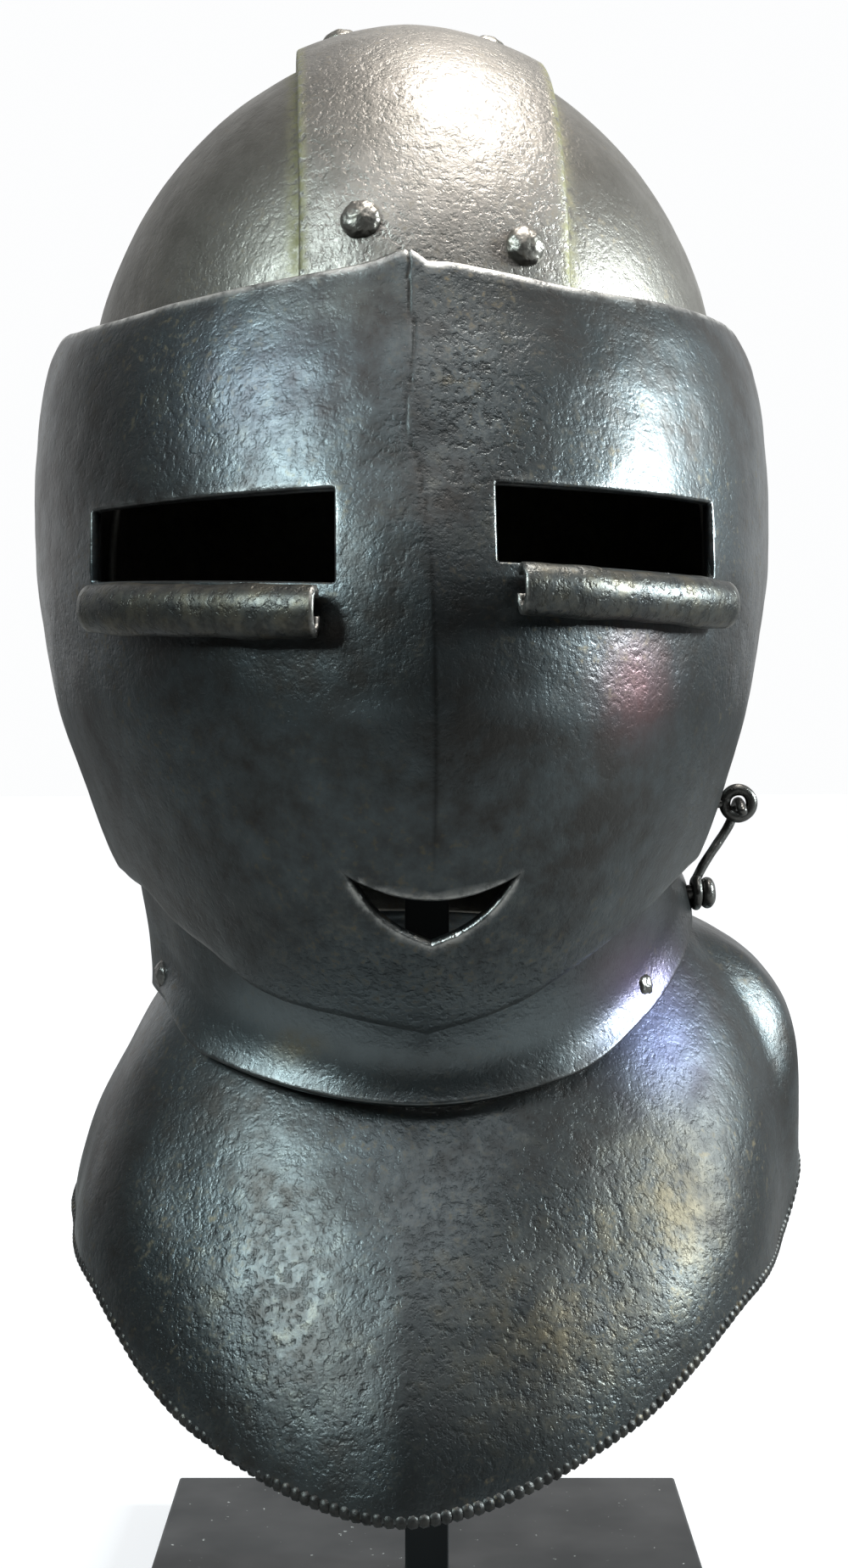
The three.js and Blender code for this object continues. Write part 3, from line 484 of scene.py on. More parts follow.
def cut_out(net, outline):
    """Cuts a flat outline, seen from the front, out of the front of a net."""
    xs = [p[0] for p in outline]
    zs = [p[1] for p in outline]
    room = 3
    for (ax, az), (bx, bz) in zip(outline, outline[1:] + outline[:1]):
        low = (min(ax, bx) - room, min(az, bz) - room)
        high = (max(ax, bx) + room, max(az, bz) + room)
        near = []
        for f in net.faces:
            c = f.calc_center_median()
            if c.y < 0 and low[0] < c.x < high[0] and low[1] < c.z < high[1]:
                near.append(f)
        edges = {e for f in near for e in f.edges}
        verts = {v for f in near for v in f.verts}
        bmesh.ops.bisect_plane(
            net, geom=[*near, *edges, *verts], dist=1e-5, plane_co=(ax, 0, az), plane_no=(bz - az, 0, ax - bx)
        )
    gone = []
    for f in net.faces:
        c = f.calc_center_median()
        if c.y < 0 and min(xs) < c.x < max(xs) and min(zs) < c.z < max(zs) and inside(c.x, c.z, outline):
            gone.append(f)
    bmesh.ops.delete(net, geom=gone, context="FACES")


def thicken(net, wall, rim_steps=4):
    """Turns a net into a plate with rounded edges: points, faces and how near each point is to an edge."""
    net.normal_update()
    net.verts.index_update()
    points = np.array([v.co for v in net.verts])
    normals = np.array([v.normal for v in net.verts])
    count = len(points)
    faces = [[v.index for v in f.verts] for f in net.faces]
    rim, way = [], {}
    for f in net.faces:
        middle = f.calc_center_median()
        for loop in f.loops:
            if loop.edge.is_boundary:
                a, b = loop.vert, loop.link_loop_next.vert
                along = b.co - a.co
                out = along.cross(f.normal)
                if out.dot(a.co - middle) < 0:
                    out.negate()
                rim.append((a.index, b.index))
                for v in (a, b):
                    way[v.index] = way.get(v.index, Vector()) + out.normalized() * along.length
    order = {k: n for n, k in enumerate(way)}
    ends = list(way)
    out = np.array([way[k].normalized() for k in ends])
    rings = [points, points - wall * normals]
    faces += [[count + k for k in reversed(f)] for f in faces]
    base = 2 * count
    edge_roundness = 0.6
    edge_bulge = 0.22 * wall
    for step in range(1, rim_steps):
        a = math.pi * step / rim_steps
        level = math.copysign(abs(math.cos(a)) ** edge_roundness, math.cos(a))
        bulge = math.sin(a) ** edge_roundness * edge_bulge
        rings.append(points[ends] - normals[ends] * wall * (1 - level) / 2 + out * bulge)
    size = len(ends)

    def at(k, step):
        if step == 0:
            return k
        if step == rim_steps:
            return count + k
        return base + (step - 1) * size + order[k]

    for a, b in rim:
        for step in range(rim_steps):
            faces.append([at(b, step), at(a, step), at(a, step + 1), at(b, step + 1)])
    everything = np.vstack(rings)
    tree = kdtree.KDTree(max(size, 1))
    for n, k in enumerate(ends):
        tree.insert(points[k], n)
    tree.balance()
    near = np.array([tree.find(p)[2] for p in everything])
    return everything, faces, near


def linked(name, data):
    """An object in the scene."""
    made = bpy.data.objects.new(name, data)
    bpy.context.scene.collection.objects.link(made)
    return made


def net_of(name, points, edges, faces):
    """A mesh from points in millimetres above the nose line."""
    mesh = bpy.data.meshes.new(name)
    placed = (np.asarray(points, float) + (0, 0, nose_height)) / 1000
    mesh.from_pydata(placed.tolist(), edges, faces)
    return mesh


def stands_for(made, body, slot, *nodes):
    """Puts an object in the place of solids, on their body."""
    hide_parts(*nodes)
    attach(made, body)


def to_object(name, points, faces, material, **marks):
    """An object with its marks as attributes."""
    mesh = net_of(name, points, [], faces)
    mesh.polygons.foreach_set("use_smooth", [True] * len(mesh.polygons))
    for mark, values in marks.items():
        layer = mesh.attributes.new(mark, "FLOAT", "POINT")
        layer.data.foreach_set("value", np.clip(values, 0, 1).astype(np.float32))
    mesh.materials.append(material)
    return linked(name, mesh)


def joined(parts):
    """Several (points, faces, mark) as one."""
    points, faces, marks, start = [], [], [], 0
    for p, f, m in parts:
        points.append(p)
        faces += [[start + k for k in face] for face in f]
        marks.append(m)
        start += len(p)
    return np.vstack(points), faces, np.concatenate(marks)


def seam_at(points, top_plate):
    """The crust along the crown plate's two sides, on the plate and on the skull beside it."""
    x, y, z = points.T
    aside = np.abs(np.abs(x - crown_plate_shift) - crown_plate_width / 2)
    crust_reach = 1.3 if top_plate else 2.6
    high = ramp(z, temple_height - 20, temple_height + 5)
    return 0.85 * high * np.exp(-((aside / crust_reach) ** 2))


def spots(points, rows):
    """How strongly each point lies in any of the soft round patches of a table."""
    strength = np.zeros(len(points))
    for row in rows:
        away = (points - np.array(row["at"])) / np.array(row["size"])
        strength = np.maximum(strength, row["force"] * np.exp(-(away**2).sum(1)))
    return strength


# Finishes

class Palette:
    """Adds nodes to a tree and gives their outputs."""

    def __init__(self, tree):
        self.nodes = tree.nodes
        self.links = tree.links

    def wire(self, value, socket):
        """Links an output to a socket, or sets the socket to a number or a colour."""
        if isinstance(value, bpy.types.NodeSocket):
            self.links.new(value, socket)
        else:
            socket.default_value = (*value, 1) if isinstance(value, tuple) else value

    def maths(self, kind, a, b):
        node = self.nodes.new("ShaderNodeMath")
        node.operation = kind
        self.wire(a, node.inputs[0])
        self.wire(b, node.inputs[1])
        return node.outputs[0]

    def times(self, a, b):
        return self.maths("MULTIPLY", a, b)

    def plus(self, a, b):
        return self.maths("ADD", a, b)

    def most(self, a, b):
        return self.maths("MAXIMUM", a, b)

    def noise(self, place, size, detail, rough):
        """A noise with features of a size in metres."""
        texture = self.nodes.new("ShaderNodeTexNoise")
        settings = {"Vector": place, "Scale": 1 / size, "Detail": detail, "Roughness": rough}
        for label, value in settings.items():
            self.wire(value, texture.inputs[label])
        return texture.outputs["Fac"]

    def span(self, value, low, high, to_low=0.0, to_high=1.0):
        """Maps a span of a value to another span."""
        node = self.nodes.new("ShaderNodeMapRange")
        for socket, setting in zip(node.inputs, (value, low, high, to_low, to_high)):
            self.wire(setting, socket)
        return node.outputs["Result"]

    def mix(self, share, a, b):
        """A colour between two."""
        node = self.nodes.new("ShaderNodeMix")
        node.data_type = "RGBA"
        for socket, value in ((node.inputs["Factor"], share), (node.inputs[6], a), (node.inputs[7], b)):
            self.wire(value, socket)
        return node.outputs[2]

    def mark(self, name):
        node = self.nodes.new("ShaderNodeAttribute")
        node.attribute_name = name
        return node.outputs["Fac"]


def shader(name):
    material = bpy.data.materials.new(name)
    material.use_nodes = True
    tree = material.node_tree
    return material, Palette(tree), tree.nodes["Principled BSDF"].inputs


# How big the clouds, mottles, pits and grains of the steel are, in metres.
cloud_size = 0.05
mottle_size = 0.008
pit_size = 0.0022
grain_size = 0.0013
bare_steel = (0.42, 0.42, 0.41)
seam_crust = (0.14, 0.132, 0.062)
crack_and_keel_painted_shading = (0.01, 0.009, 0.008)
rosy_tint = (0.23, 0.112, 0.12)
bluish_tint = (0.1, 0.115, 0.24)


def steel(name, dark, light, rust, polish, pit_depth, worn=bare_steel):
    """Old forged steel: two tones in clouds, rust in spots, worn edges and fine pits, with painted shading in
    patches, a lighter tint that is partly painted highlight, and painted shading in the crack and along the
    keel.
    """
    material, p, surface = shader(name)
    place = p.nodes.new("ShaderNodeTexCoord").outputs["Object"]
    clouds = p.noise(place, cloud_size, 5, 0.6)
    mottle = p.noise(place, mottle_size, 6, 0.68)
    grain = p.noise(place, grain_size, 3, 0.6)
    speck = p.noise(place, pit_size, 3, 0.6)
    pitted = p.mark("pitted")

    tone = p.plus(p.times(clouds, 0.55), p.times(mottle, 0.45))
    spotted = p.times(p.span(speck, 0.56, 0.7), p.span(clouds, 0.46, 0.6, 0, 0.5))
    rusty = p.most(spotted, p.times(p.mark("rust"), p.span(mottle, 0.38, 0.56)))
    crusted = p.times(p.mark("seam"), p.span(speck, 0.34, 0.56))
    tints_wear_and_painted_light = (
        # painted shading: the colour darkened to a fraction of the dark tone in soft patches
        (p.mark("shade"), tuple(0.4 * c for c in dark)),
        # a lighter tint: partly lighter steel, partly painted highlight
        (p.mark("pale_and_painted_highlight"), tuple(2.6 * c for c in light)),
        (p.mark("rosy"), rosy_tint),
        (p.mark("bluish"), bluish_tint),
        (rusty, rust),
        (p.times(pitted, p.span(speck, 0.42, 0.62, 0.75, 0)), tuple(0.45 * c for c in dark)),
        (p.times(pitted, p.span(mottle, 0.54, 0.66, 0, 0.45)), rust),
        (p.times(p.mark("wear"), p.span(mottle, 0.4, 0.56, 0.2, 1.0)), worn),
        (crusted, seam_crust),
        # painted shading: near black in the crack's groove and along the keel line
        (p.mark("crack"), crack_and_keel_painted_shading),
    )
    colour = p.mix(p.span(tone, 0.4, 0.62), dark, light)
    for share, tint in tints_wear_and_painted_light:
        colour = p.mix(share, colour, tint)
    p.wire(colour, surface["Base Color"])

    dulled = p.plus(p.times(crusted, 0.3), p.times(p.mark("shade"), 0.12))
    rough = p.plus(p.span(tone, 0.36, 0.64, polish + 0.1, polish), p.plus(p.times(rusty, 0.22), dulled))
    p.wire(rough, surface["Roughness"])
    surface["Metallic"].default_value = 0.94

    pits = p.times(p.span(speck, 0.25, 0.5), p.plus(0.45, p.times(pitted, 0.9)))
    bump = p.nodes.new("ShaderNodeBump")
    bump.inputs["Strength"].default_value = 1
    bump.inputs["Distance"].default_value = pit_depth
    p.wire(p.plus(p.plus(pits, p.times(grain, 0.6)), p.times(mottle, 0.6)), bump.inputs["Height"])
    p.wire(bump.outputs["Normal"], surface["Normal"])
    return material


def lacquer(name):
    """Satin black paint with a little dust."""
    material, p, surface = shader(name)
    place = p.nodes.new("ShaderNodeTexCoord").outputs["Object"]
    dust = p.span(p.noise(place, 0.0022, 2, 0.5), 0.735, 0.77)
    p.wire(p.mix(dust, (0.012, 0.0125, 0.013), (0.3, 0.3, 0.28)), surface["Base Color"])
    p.wire(p.span(p.noise(place, 0.03, 3, 0.5), 0.3, 0.7, 0.34, 0.5), surface["Roughness"])
    surface["Specular IOR Level"].default_value = 0.35
    return material


blackened = steel(
    "blackened_steel", (0.034, 0.032, 0.03), (0.066, 0.077, 0.081), (0.12, 0.092, 0.05), 0.3, 0.00015,
    (0.6, 0.58, 0.55),
)
patinated = steel("worn_steel", (0.1, 0.092, 0.08), (0.2, 0.187, 0.168), (0.15, 0.115, 0.065), 0.34, 0.00018)
bright_steel = steel(
    "crown_steel", (0.13, 0.12, 0.108), (0.25, 0.232, 0.212), (0.16, 0.13, 0.085), 0.36, 0.00028
)
forged = steel("dark_iron", (0.06, 0.057, 0.053), (0.16, 0.155, 0.147), (0.1, 0.065, 0.04), 0.28, 0.0002)
black_paint = lacquer("black_lacquer")


# Shape trees for what repeats

def shape_tree(name, *sizes):
    """An empty tree with its named inputs, and a helper that adds nodes to it."""
    tree = bpy.data.node_groups.new(name, "GeometryNodeTree")
    sockets = {"Points": "NodeSocketGeometry", **dict.fromkeys(sizes, "NodeSocketFloat")}
    sockets["Finish"] = "NodeSocketMaterial"
    for label, kind in sockets.items():
        tree.interface.new_socket(label, in_out="INPUT", socket_type=kind)
    tree.interface.new_socket("Result", in_out="OUTPUT", socket_type="NodeSocketGeometry")
    given = tree.nodes.new("NodeGroupInput")

    def add(kind, settings=None, **wires):
        node = tree.nodes.new(kind)
        for key, value in (settings or {}).items():
            setattr(node, key, value)
        for label, value in wires.items():
            socket = next(s for s in node.inputs if s.name.replace(" ", "_") == label and s.enabled)
            if isinstance(value, bpy.types.NodeSocket):
                tree.links.new(value, socket)
            else:
                socket.default_value = value
        return node.outputs[0]

    return tree, given.outputs, add


def hammered(tree, add, shape, given, scale):
    """Joins the copies into one mesh, dents it a little and gives it its finish."""
    sums = Palette(tree)
    real = add("GeometryNodeRealizeInstances", Geometry=shape)
    dents = add("ShaderNodeTexNoise", {"noise_dimensions": "4D"}, Scale=scale, Detail=1.0, W=given["Seed"])
    depth = sums.times(sums.maths("SUBTRACT", dents, 0.5), given["Hammering"])
    move = tree.nodes.new("ShaderNodeVectorMath")
    move.operation = "SCALE"
    sums.wire(add("GeometryNodeInputNormal"), move.inputs[0])
    sums.wire(depth, move.inputs["Scale"])
    moved = add("GeometryNodeSetPosition", Geometry=real, Offset=move.outputs[0])
    smooth = add("GeometryNodeSetShadeSmooth", Geometry=moved)
    finish = add("GeometryNodeSetMaterial", Geometry=smooth, Material=given["Finish"])
    sums.wire(finish, tree.nodes.new("NodeGroupOutput").inputs[0])
    return tree


def stretched(add, shape, x, y, z):
    """A shape scaled along its three axes by inputs."""
    return add("GeometryNodeTransform", Geometry=shape, Scale=add("ShaderNodeCombineXYZ", X=x, Y=y, Z=z))


def facing_way(add):
    """The turn that points a shape's +Z along each point's "facing"."""
    facing = add("GeometryNodeInputNamedAttribute", {"data_type": "FLOAT_VECTOR"}, Name="facing")
    return add("FunctionNodeAlignRotationToVector", {"axis": "Z"}, Vector=facing)


def rivet_tree():
    """Domed rivet heads with shanks, one on each point, facing along its "facing"."""
    sizes = ("Head", "Rise", "Shank", "Shank Radius", "Hammering", "Seed")
    tree, given, add = shape_tree("hammered_rivets", *sizes)
    ball = add("GeometryNodeMeshIcoSphere", Radius=1.0, Subdivisions=5)
    dome = stretched(add, ball, given["Head"], given["Head"], given["Rise"])
    stem = add("GeometryNodeMeshCylinder", Vertices=24, Radius=1.0, Depth=1.0)
    lowered = add("GeometryNodeTransform", Geometry=stem, Translation=(0, 0, -0.5))
    shank = stretched(add, lowered, given["Shank Radius"], given["Shank Radius"], given["Shank"])
    both = tree.nodes.new("GeometryNodeJoinGeometry")
    tree.links.new(dome, both.inputs[0])
    tree.links.new(shank, both.inputs[0])
    placed = add("GeometryNodeInstanceOnPoints", Points=given["Points"], Instance=both.outputs[0],
                 Rotation=facing_way(add))
    return hammered(tree, add, placed, given, 420.0)


def rope_tree():
    """Slanting strands side by side along a line of points: a rim filed like a rope."""
    strand_long, strand_wide, strand_slant = 0.76, 1.3, math.radians(33)
    tree, given, add = shape_tree("roped_rim", "Pitch", "Radius", "Hammering", "Seed")
    line = add("GeometryNodeMeshToCurve", Mesh=given["Points"])
    sums = Palette(tree)
    spaced = tree.nodes.new("GeometryNodeResampleCurve")
    spaced.mode = "LENGTH"
    sums.wire(line, spaced.inputs["Curve"])
    sums.wire(given["Pitch"], spaced.inputs["Length"])
    grain = add("GeometryNodeMeshUVSphere", Segments=8, Rings=5, Radius=1.0)
    strand = stretched(add, grain, sums.times(given["Pitch"], strand_long),
                       sums.times(given["Radius"], strand_wide), given["Radius"])
    slanted = add("GeometryNodeTransform", Geometry=strand, Rotation=(0, 0, strand_slant))
    turned = add("FunctionNodeAlignRotationToVector", {"axis": "X", "pivot_axis": "Z"},
                 Rotation=facing_way(add), Vector=add("GeometryNodeInputTangent"))
    placed = add("GeometryNodeInstanceOnPoints", Points=spaced.outputs[0], Instance=slanted, Rotation=turned)
    return hammered(tree, add, placed, given, 300.0)


def grown(tree, name, points, facing, edges, **settings):
    """Runs a shape tree on points in millimetres and gives its plain mesh."""
    mesh = net_of(name, points, edges, [])
    layer = mesh.attributes.new("facing", "FLOAT_VECTOR", "POINT")
    layer.data.foreach_set("vector", np.asarray(facing, float).ravel())
    holder = linked(name, mesh)
    modifier = holder.modifiers.new("shape", "NODES")
    modifier.node_group = tree
    for item in tree.interface.items_tree:
        if item.in_out == "INPUT" and item.name in settings:
            modifier[item.identifier] = settings[item.name]
    evaluated = holder.evaluated_get(bpy.context.evaluated_depsgraph_get())
    made = bpy.data.meshes.new_from_object(evaluated)
    holder.modifiers.clear()
    bpy.data.objects.remove(holder)
    bpy.data.meshes.remove(mesh)
    return made


def seat(place, a, b):
    """A place on a face that two numbers lead to, and the way out of it."""
    step = 0.5
    here = place(a, b)
    facing = np.cross(place(a + step, b) - place(a - step, b), place(a, b + step) - place(a, b - step))
    facing /= np.linalg.norm(facing)
    if facing[:2] @ here[:2] < 0:
        facing = -facing
    return here, facing


def seat_on(reach_at, turn, height, out=0):
    """A seat on a plate, or a little way out of its face."""
    here, facing = seat(lambda a, b: polar(a, reach_at(a, b), b), turn, height)
    return here + facing * out, facing


def crown_seat(x, angle):
    return seat(lambda a, b: skull_top(a, b, crown_plate_gap + crown_plate_wall), x, angle)


# Turned and drawn pieces

def turned_piece(profile, sides, place, axis, dent=0.0, seed=0):
    """A closed turned shape: the profile's rows are radius and distance along the axis."""
    axis = np.array(axis, float)
    helper = np.array((0, 0, 1.0)) if abs(axis[2]) < 0.9 else np.array((1.0, 0, 0))
    one = np.cross(helper, axis)
    one /= np.linalg.norm(one)
    two = np.cross(axis, one)
    rings = []
    for radius, along in profile[1:-1]:
        for k in range(sides):
            a = 2 * math.pi * k / sides
            rings.append(along * axis + radius * (math.cos(a) * one + math.sin(a) * two))
    points = np.vstack([rings, profile[0][1] * axis, profile[-1][1] * axis])
    levels = len(profile) - 2
    faces = bands(levels, sides)
    first, last = len(points) - 2, len(points) - 1
    for k in range(sides):
        m = (k + 1) % sides
        faces.append([first, m, k])
        faces.append([last, (levels - 1) * sides + k, (levels - 1) * sides + m])
    points = points + np.array(place, float)
    if dent:
        centre = points.mean(0)
        out = points - centre
        out /= np.linalg.norm(out, axis=1)[:, None] + 1e-9
        points = points + out * (dent * lumps(points, 4.5, seed))[:, None]
    return points, faces, np.zeros(len(points))


def soft_corner(before, corner, after, radius, shares):
    """Points along a rounded corner, which takes less than half of a short side."""
    corner = np.array(corner, float)
    ends = []
    for other in (before, after):
        way = np.array(other, float) - corner
        long = np.linalg.norm(way)
        ends.append(corner + way / long * min(radius, 0.45 * long))
    return [tuple((1 - t) ** 2 * ends[0] + 2 * t * (1 - t) * corner + t**2 * ends[1]) for t in shares]


def softened(profile, radius):
    """A turned piece's profile with its corners rounded."""
    soft = [profile[0]]
    for before, here, after in zip(profile, profile[1:], profile[2:]):
        soft += soft_corner(before, here, after, radius, (0, 0.33, 0.67, 1))
    soft.append(profile[-1])
    return soft


def smooth_path(points, steps):
    """A smooth line through points."""
    points = np.array(points, float)
    padded = np.vstack([2 * points[0] - points[1], points, 2 * points[-1] - points[-2]])
    line = []
    for k in range(len(points) - 1):
        p0, p1, p2, p3 = padded[k:k + 4]
        for t in np.linspace(0, 1, steps, endpoint=False):
            line.append(0.5 * (2 * p1 + (p2 - p0) * t + (2 * p0 - 5 * p1 + 4 * p2 - p3) * t**2
                               + (3 * p1 - p0 - 3 * p2 + p3) * t**3))
    line.append(points[-1])
    return np.array(line)


def drawn_wire(line, radius, sides=16, seed=0, ring=False):
    """A hammered wire along a line, with rounded ends unless it closes on itself."""
    line = np.array(line, float)
    count = len(line)
    ways = np.roll(line, -1, 0) - np.roll(line, 1, 0) if ring else np.gradient(line, axis=0)
    ways /= np.linalg.norm(ways, axis=1)[:, None]
    side = np.cross(ways[0], (0.3, 0.5, 0.8))
    unevenness = 0.07
    rings = []
    for k in range(count):
        side = side - ways[k] * (side @ ways[k])
        side /= np.linalg.norm(side)
        other = np.cross(ways[k], side)
        swell = radius * (1 + unevenness * noise.noise(Vector(line[k]) / 3 + Vector((seed, 0, 0))))
        for m in range(sides):
            a = 2 * math.pi * m / sides
            rings.append(line[k] + swell * (math.cos(a) * side + math.sin(a) * other))
    faces = bands(count, sides, ring)
    points = np.array(rings)
    if not ring:
        tip_reach = 0.5 * radius
        cap_reach = 0.35 * radius
        cap_width = 0.7
        for k, way in ((0, -1), (count - 1, 1)):
            ring = points[k * sides:(k + 1) * sides] - line[k]
            cap = line[k] + ways[k] * cap_reach * way + ring * cap_width
            base = len(points)
            points = np.vstack([points, cap, line[k] + ways[k] * tip_reach * way])
            for m in range(sides):
                o = (m + 1) % sides
                rim = [k * sides + m, k * sides + o, base + o, base + m]
                fan = [base + m, base + o, base + sides]
                faces.append(rim[::way])
                faces.append(fan[::way])
    return points, faces, np.zeros(len(points))


# The pieces

def slot_outline(slot):
    corners = [
        (slot["inner"], slot["inner_low"]),
        (slot["outer"], slot["outer_low"]),
        (slot["outer"], slot["outer_top"]),
        (slot["inner"], slot["inner_top"]),
    ]
    outline = []
    for before, here, after in zip(corners[-1:] + corners, corners, corners[1:] + corners[:1]):
        outline += soft_corner(before, here, after, slot_corner, np.linspace(0, 1, 5))
    return outline


def mouth_outline():
    """The smile-shaped cut: its lower edge is partly a V and partly a round bowl."""
    steps = 22
    vee_share = 0.45
    bowl_power = 3.2
    lower, upper = [], []
    for t in np.linspace(-1, 1, steps + 1):
        x = t * mouth["half_width"]
        dip = vee_share * (1 - abs(t)) + (1 - vee_share) * (1 - abs(t) ** bowl_power)
        lower.append((x, mouth["tip_height"] - mouth["low_dip"] * dip))
        upper.append((x, mouth["tip_height"] - mouth["top_dip"] * (1 - t * t)))
    return lower + upper[-2:0:-1]


def visor_relief(points):
    """Hammered unevenness, a few dents, and the crack down the brow."""
    move = 0.35 * lumps(points, visor_lump, 1) + 0.12 * lumps(points, hammer_mark, 2)
    dents = (
        {"at": (-40, -112, 75), "size": (16, 30, 10), "force": 0.5},
        {"at": (52, -105, -12), "size": (12, 30, 12), "force": 0.6},
        {"at": (8, -146, 66), "size": (9, 20, 9), "force": 0.4},
    )
    move -= spots(points, dents)
    return move - 0.5 * crack_at(points, 0.42)


def crack_at(points, width):
    """How deep a point lies in the crack down the brow, which is open at the upper edge."""
    x, y, z = points.T
    path = follow(brow_crack, "height", z, "aside")
    jitter = 0.9 * np.array([noise.noise(Vector((0, 3, h / 3.2))) for h in z])
    strength = ramp(z, 36, 46) * (0.45 + 0.55 * ramp(z, 84, 104))
    return np.where(y < 0, strength * np.exp(-(((x - path - jitter) / width) ** 2)), 0)


def keel_line_at(points):
    """A thin line of painted shading where the keel's two flanks meet."""
    turn = np.degrees(np.arctan2(points[:, 0], -points[:, 1]))
    up = up_at(points[:, 2])
    aside = turn - follow(keel_rows, "up", up, "lean")
    return 0.5 * ramp(up, 0.18, 0.3) * (1 - ramp(up, 0.56, 0.68)) * np.exp(-((aside / 0.22) ** 2))


def at_side(reach_at, height, turn_for):
    """The turn at which a plate meets a place aside, found by going round a few times."""
    turn = 0.0
    for _ in range(20):
        turn = turn_for(float(reach_at(turn, height)))
    return turn


def lip_tube(row):
    """A rolled lip: an open tube under an eye slot, cut off at both ends."""
    steps, arc = 56, 22
    start, end = math.radians(-38), math.radians(252)
    stand = lip_radius - lip_wall * 0.6
    lip_swell, flatter, cut_bulge = 0.35, 0.87, 0.6
    angles = np.linspace(start, end, arc)
    rings = []
    for t in np.linspace(0, 1, steps + 1):
        x = row["inner"] + (row["outer"] - row["inner"]) * t
        z = row["inner_height"] + (row["outer_height"] - row["inner_height"]) * t
        turn = at_side(visor_reach, z, lambda reach: math.degrees(math.asin(x / reach)))
        here = polar(turn, visor_reach(turn, z) + stand, z)
        out = np.array([here[0], here[1], 0]) / math.hypot(here[0], here[1])
        wobble = 0.25 * math.sin(9 * t) + 0.15 * math.sin(23 * t + 1)
        outer = lip_radius + lip_swell + wobble
        inner = lip_radius + lip_swell - lip_wall + wobble * 0.5
        section = [(outer, a, 0) for a in angles]
        for edge, way in ((end, 1), (start, -1)):
            for k in np.linspace(0, math.pi, 5)[1:-1]:
                middle, half = (outer + inner) / 2, way * (outer - inner) / 2
                section.append((middle + half * math.cos(k), edge, half * math.sin(k) * cut_bulge))
            if way == 1:
                section += [(inner, a, 0) for a in angles[::-1]]
        sag = row["sag"] * (1 - (2 * t - 1) ** 2)
        for reach, a, bulge in section:
            aside = reach * math.sin(a) + bulge * math.cos(a)
            up = reach * math.cos(a) - bulge * math.sin(a)
            rings.append(here + out * aside * flatter + np.array([0, 0, up - (sag if up < 0 else 0)]))
    n = len(section)
    faces = bands(steps + 1, n)
    faces.append(list(range(n))[::-1])
    faces.append([steps * n + k for k in range(n)])
    if row["outer"] < row["inner"]:
        faces = [face[::-1] for face in faces]
    wear = np.zeros((steps + 1, n))
    wear[:1] = wear[-1:] = 0.35
    wear[:, arc:arc + 4] = wear[:, -4:] = 0.3
    return np.array(rings), faces, wear.ravel()


def outward(made):
    """Turns a closed mesh's faces outwards."""
    net = bmesh.new()
    net.from_mesh(made.data)
    bmesh.ops.recalc_face_normals(net, faces=net.faces)
    net.to_mesh(made.data)
    net.free()


# Soft round patches on the plates, by their mark: where each lies, how far it reaches and how strong it is.
patches = {
    "pitted": (
        {"at": (13, -138, 78), "size": (15, 30, 34), "force": 1.0},
        {"at": (30, -120, -150), "size": (60, 60, 40), "force": 0.65},
        {"at": (-45, -110, -150), "size": (34, 50, 34), "force": 0.5},
        {"at": (0, -120, -62), "size": (50, 40, 18), "force": 0.5},
        {"at": (-60, -100, 70), "size": (40, 50, 20), "force": 0.3},
    ),
    "rosy": (
        {"at": (50, -118, 4), "size": (9, 30, 11), "force": 0.42},
        {"at": (60, -80, -72), "size": (14, 30, 10), "force": 0.3},
    ),
    "bluish": (
        {"at": (-45, -115, 78), "size": (24, 40, 22), "force": 0.05},
        {"at": (64, -78, -82), "size": (14, 30, 16), "force": 0.5},
    ),
    "rust": (
        {"at": (-33, -104, -88), "size": (7, 20, 4), "force": 0.9},
        {"at": (30, -125, -155), "size": (26, 30, 16), "force": 0.5},
        {"at": (62, -110, -130), "size": (14, 30, 20), "force": 0.5},
        {"at": (-30, -142, 100), "size": (26, 30, 8), "force": 0.25},
    ),
    # Painted shading: these rows darken and roughen the plates in soft patches where the light leaves them
    # darker.
    "shade": (
        {"at": (49, -105, -135), "size": (26, 44, 26), "force": 0.45},
        {"at": (-56, -30, 136), "size": (34, 70, 36), "force": 0.5},
        {"at": (24, -130, 102), "size": (22, 30, 9), "force": 0.9},
        {"at": (76, -80, -122), "size": (30, 56, 38), "force": 0.75},
        {"at": (-70, -10, 140), "size": (40, 90, 50), "force": 0.6},
        {"at": (-82, -90, 84), "size": (18, 50, 26), "force": 0.6},
        {"at": (17, -140, -170), "size": (12, 30, 9), "force": 0.6},
        {"at": (-85, -60, -115), "size": (20, 40, 24), "force": 0.4},
    ),
    # A lighter tint, partly lighter steel and partly painted highlight: the broad light band on the bevor's
    # turned-out lower edge and the light streak down the collar's front are painted highlight.
    "pale_and_painted_highlight": (
        {"at": (14, -138, 74), "size": (13, 30, 17), "force": 0.3},
        {"at": (-12, -110, -80), "size": (60, 50, 12), "force": 0.85},
        {"at": (4, -128, -146), "size": (22, 50, 30), "force": 0.28},
        {"at": (-15, -140, -2), "size": (10, 20, 3), "force": 0.25},
        {"at": (24, -138, 0), "size": (13, 20, 4), "force": 0.22},
    ),
}


def marks_of(points):
    return {mark: spots(points, rows) for mark, rows in patches.items()}


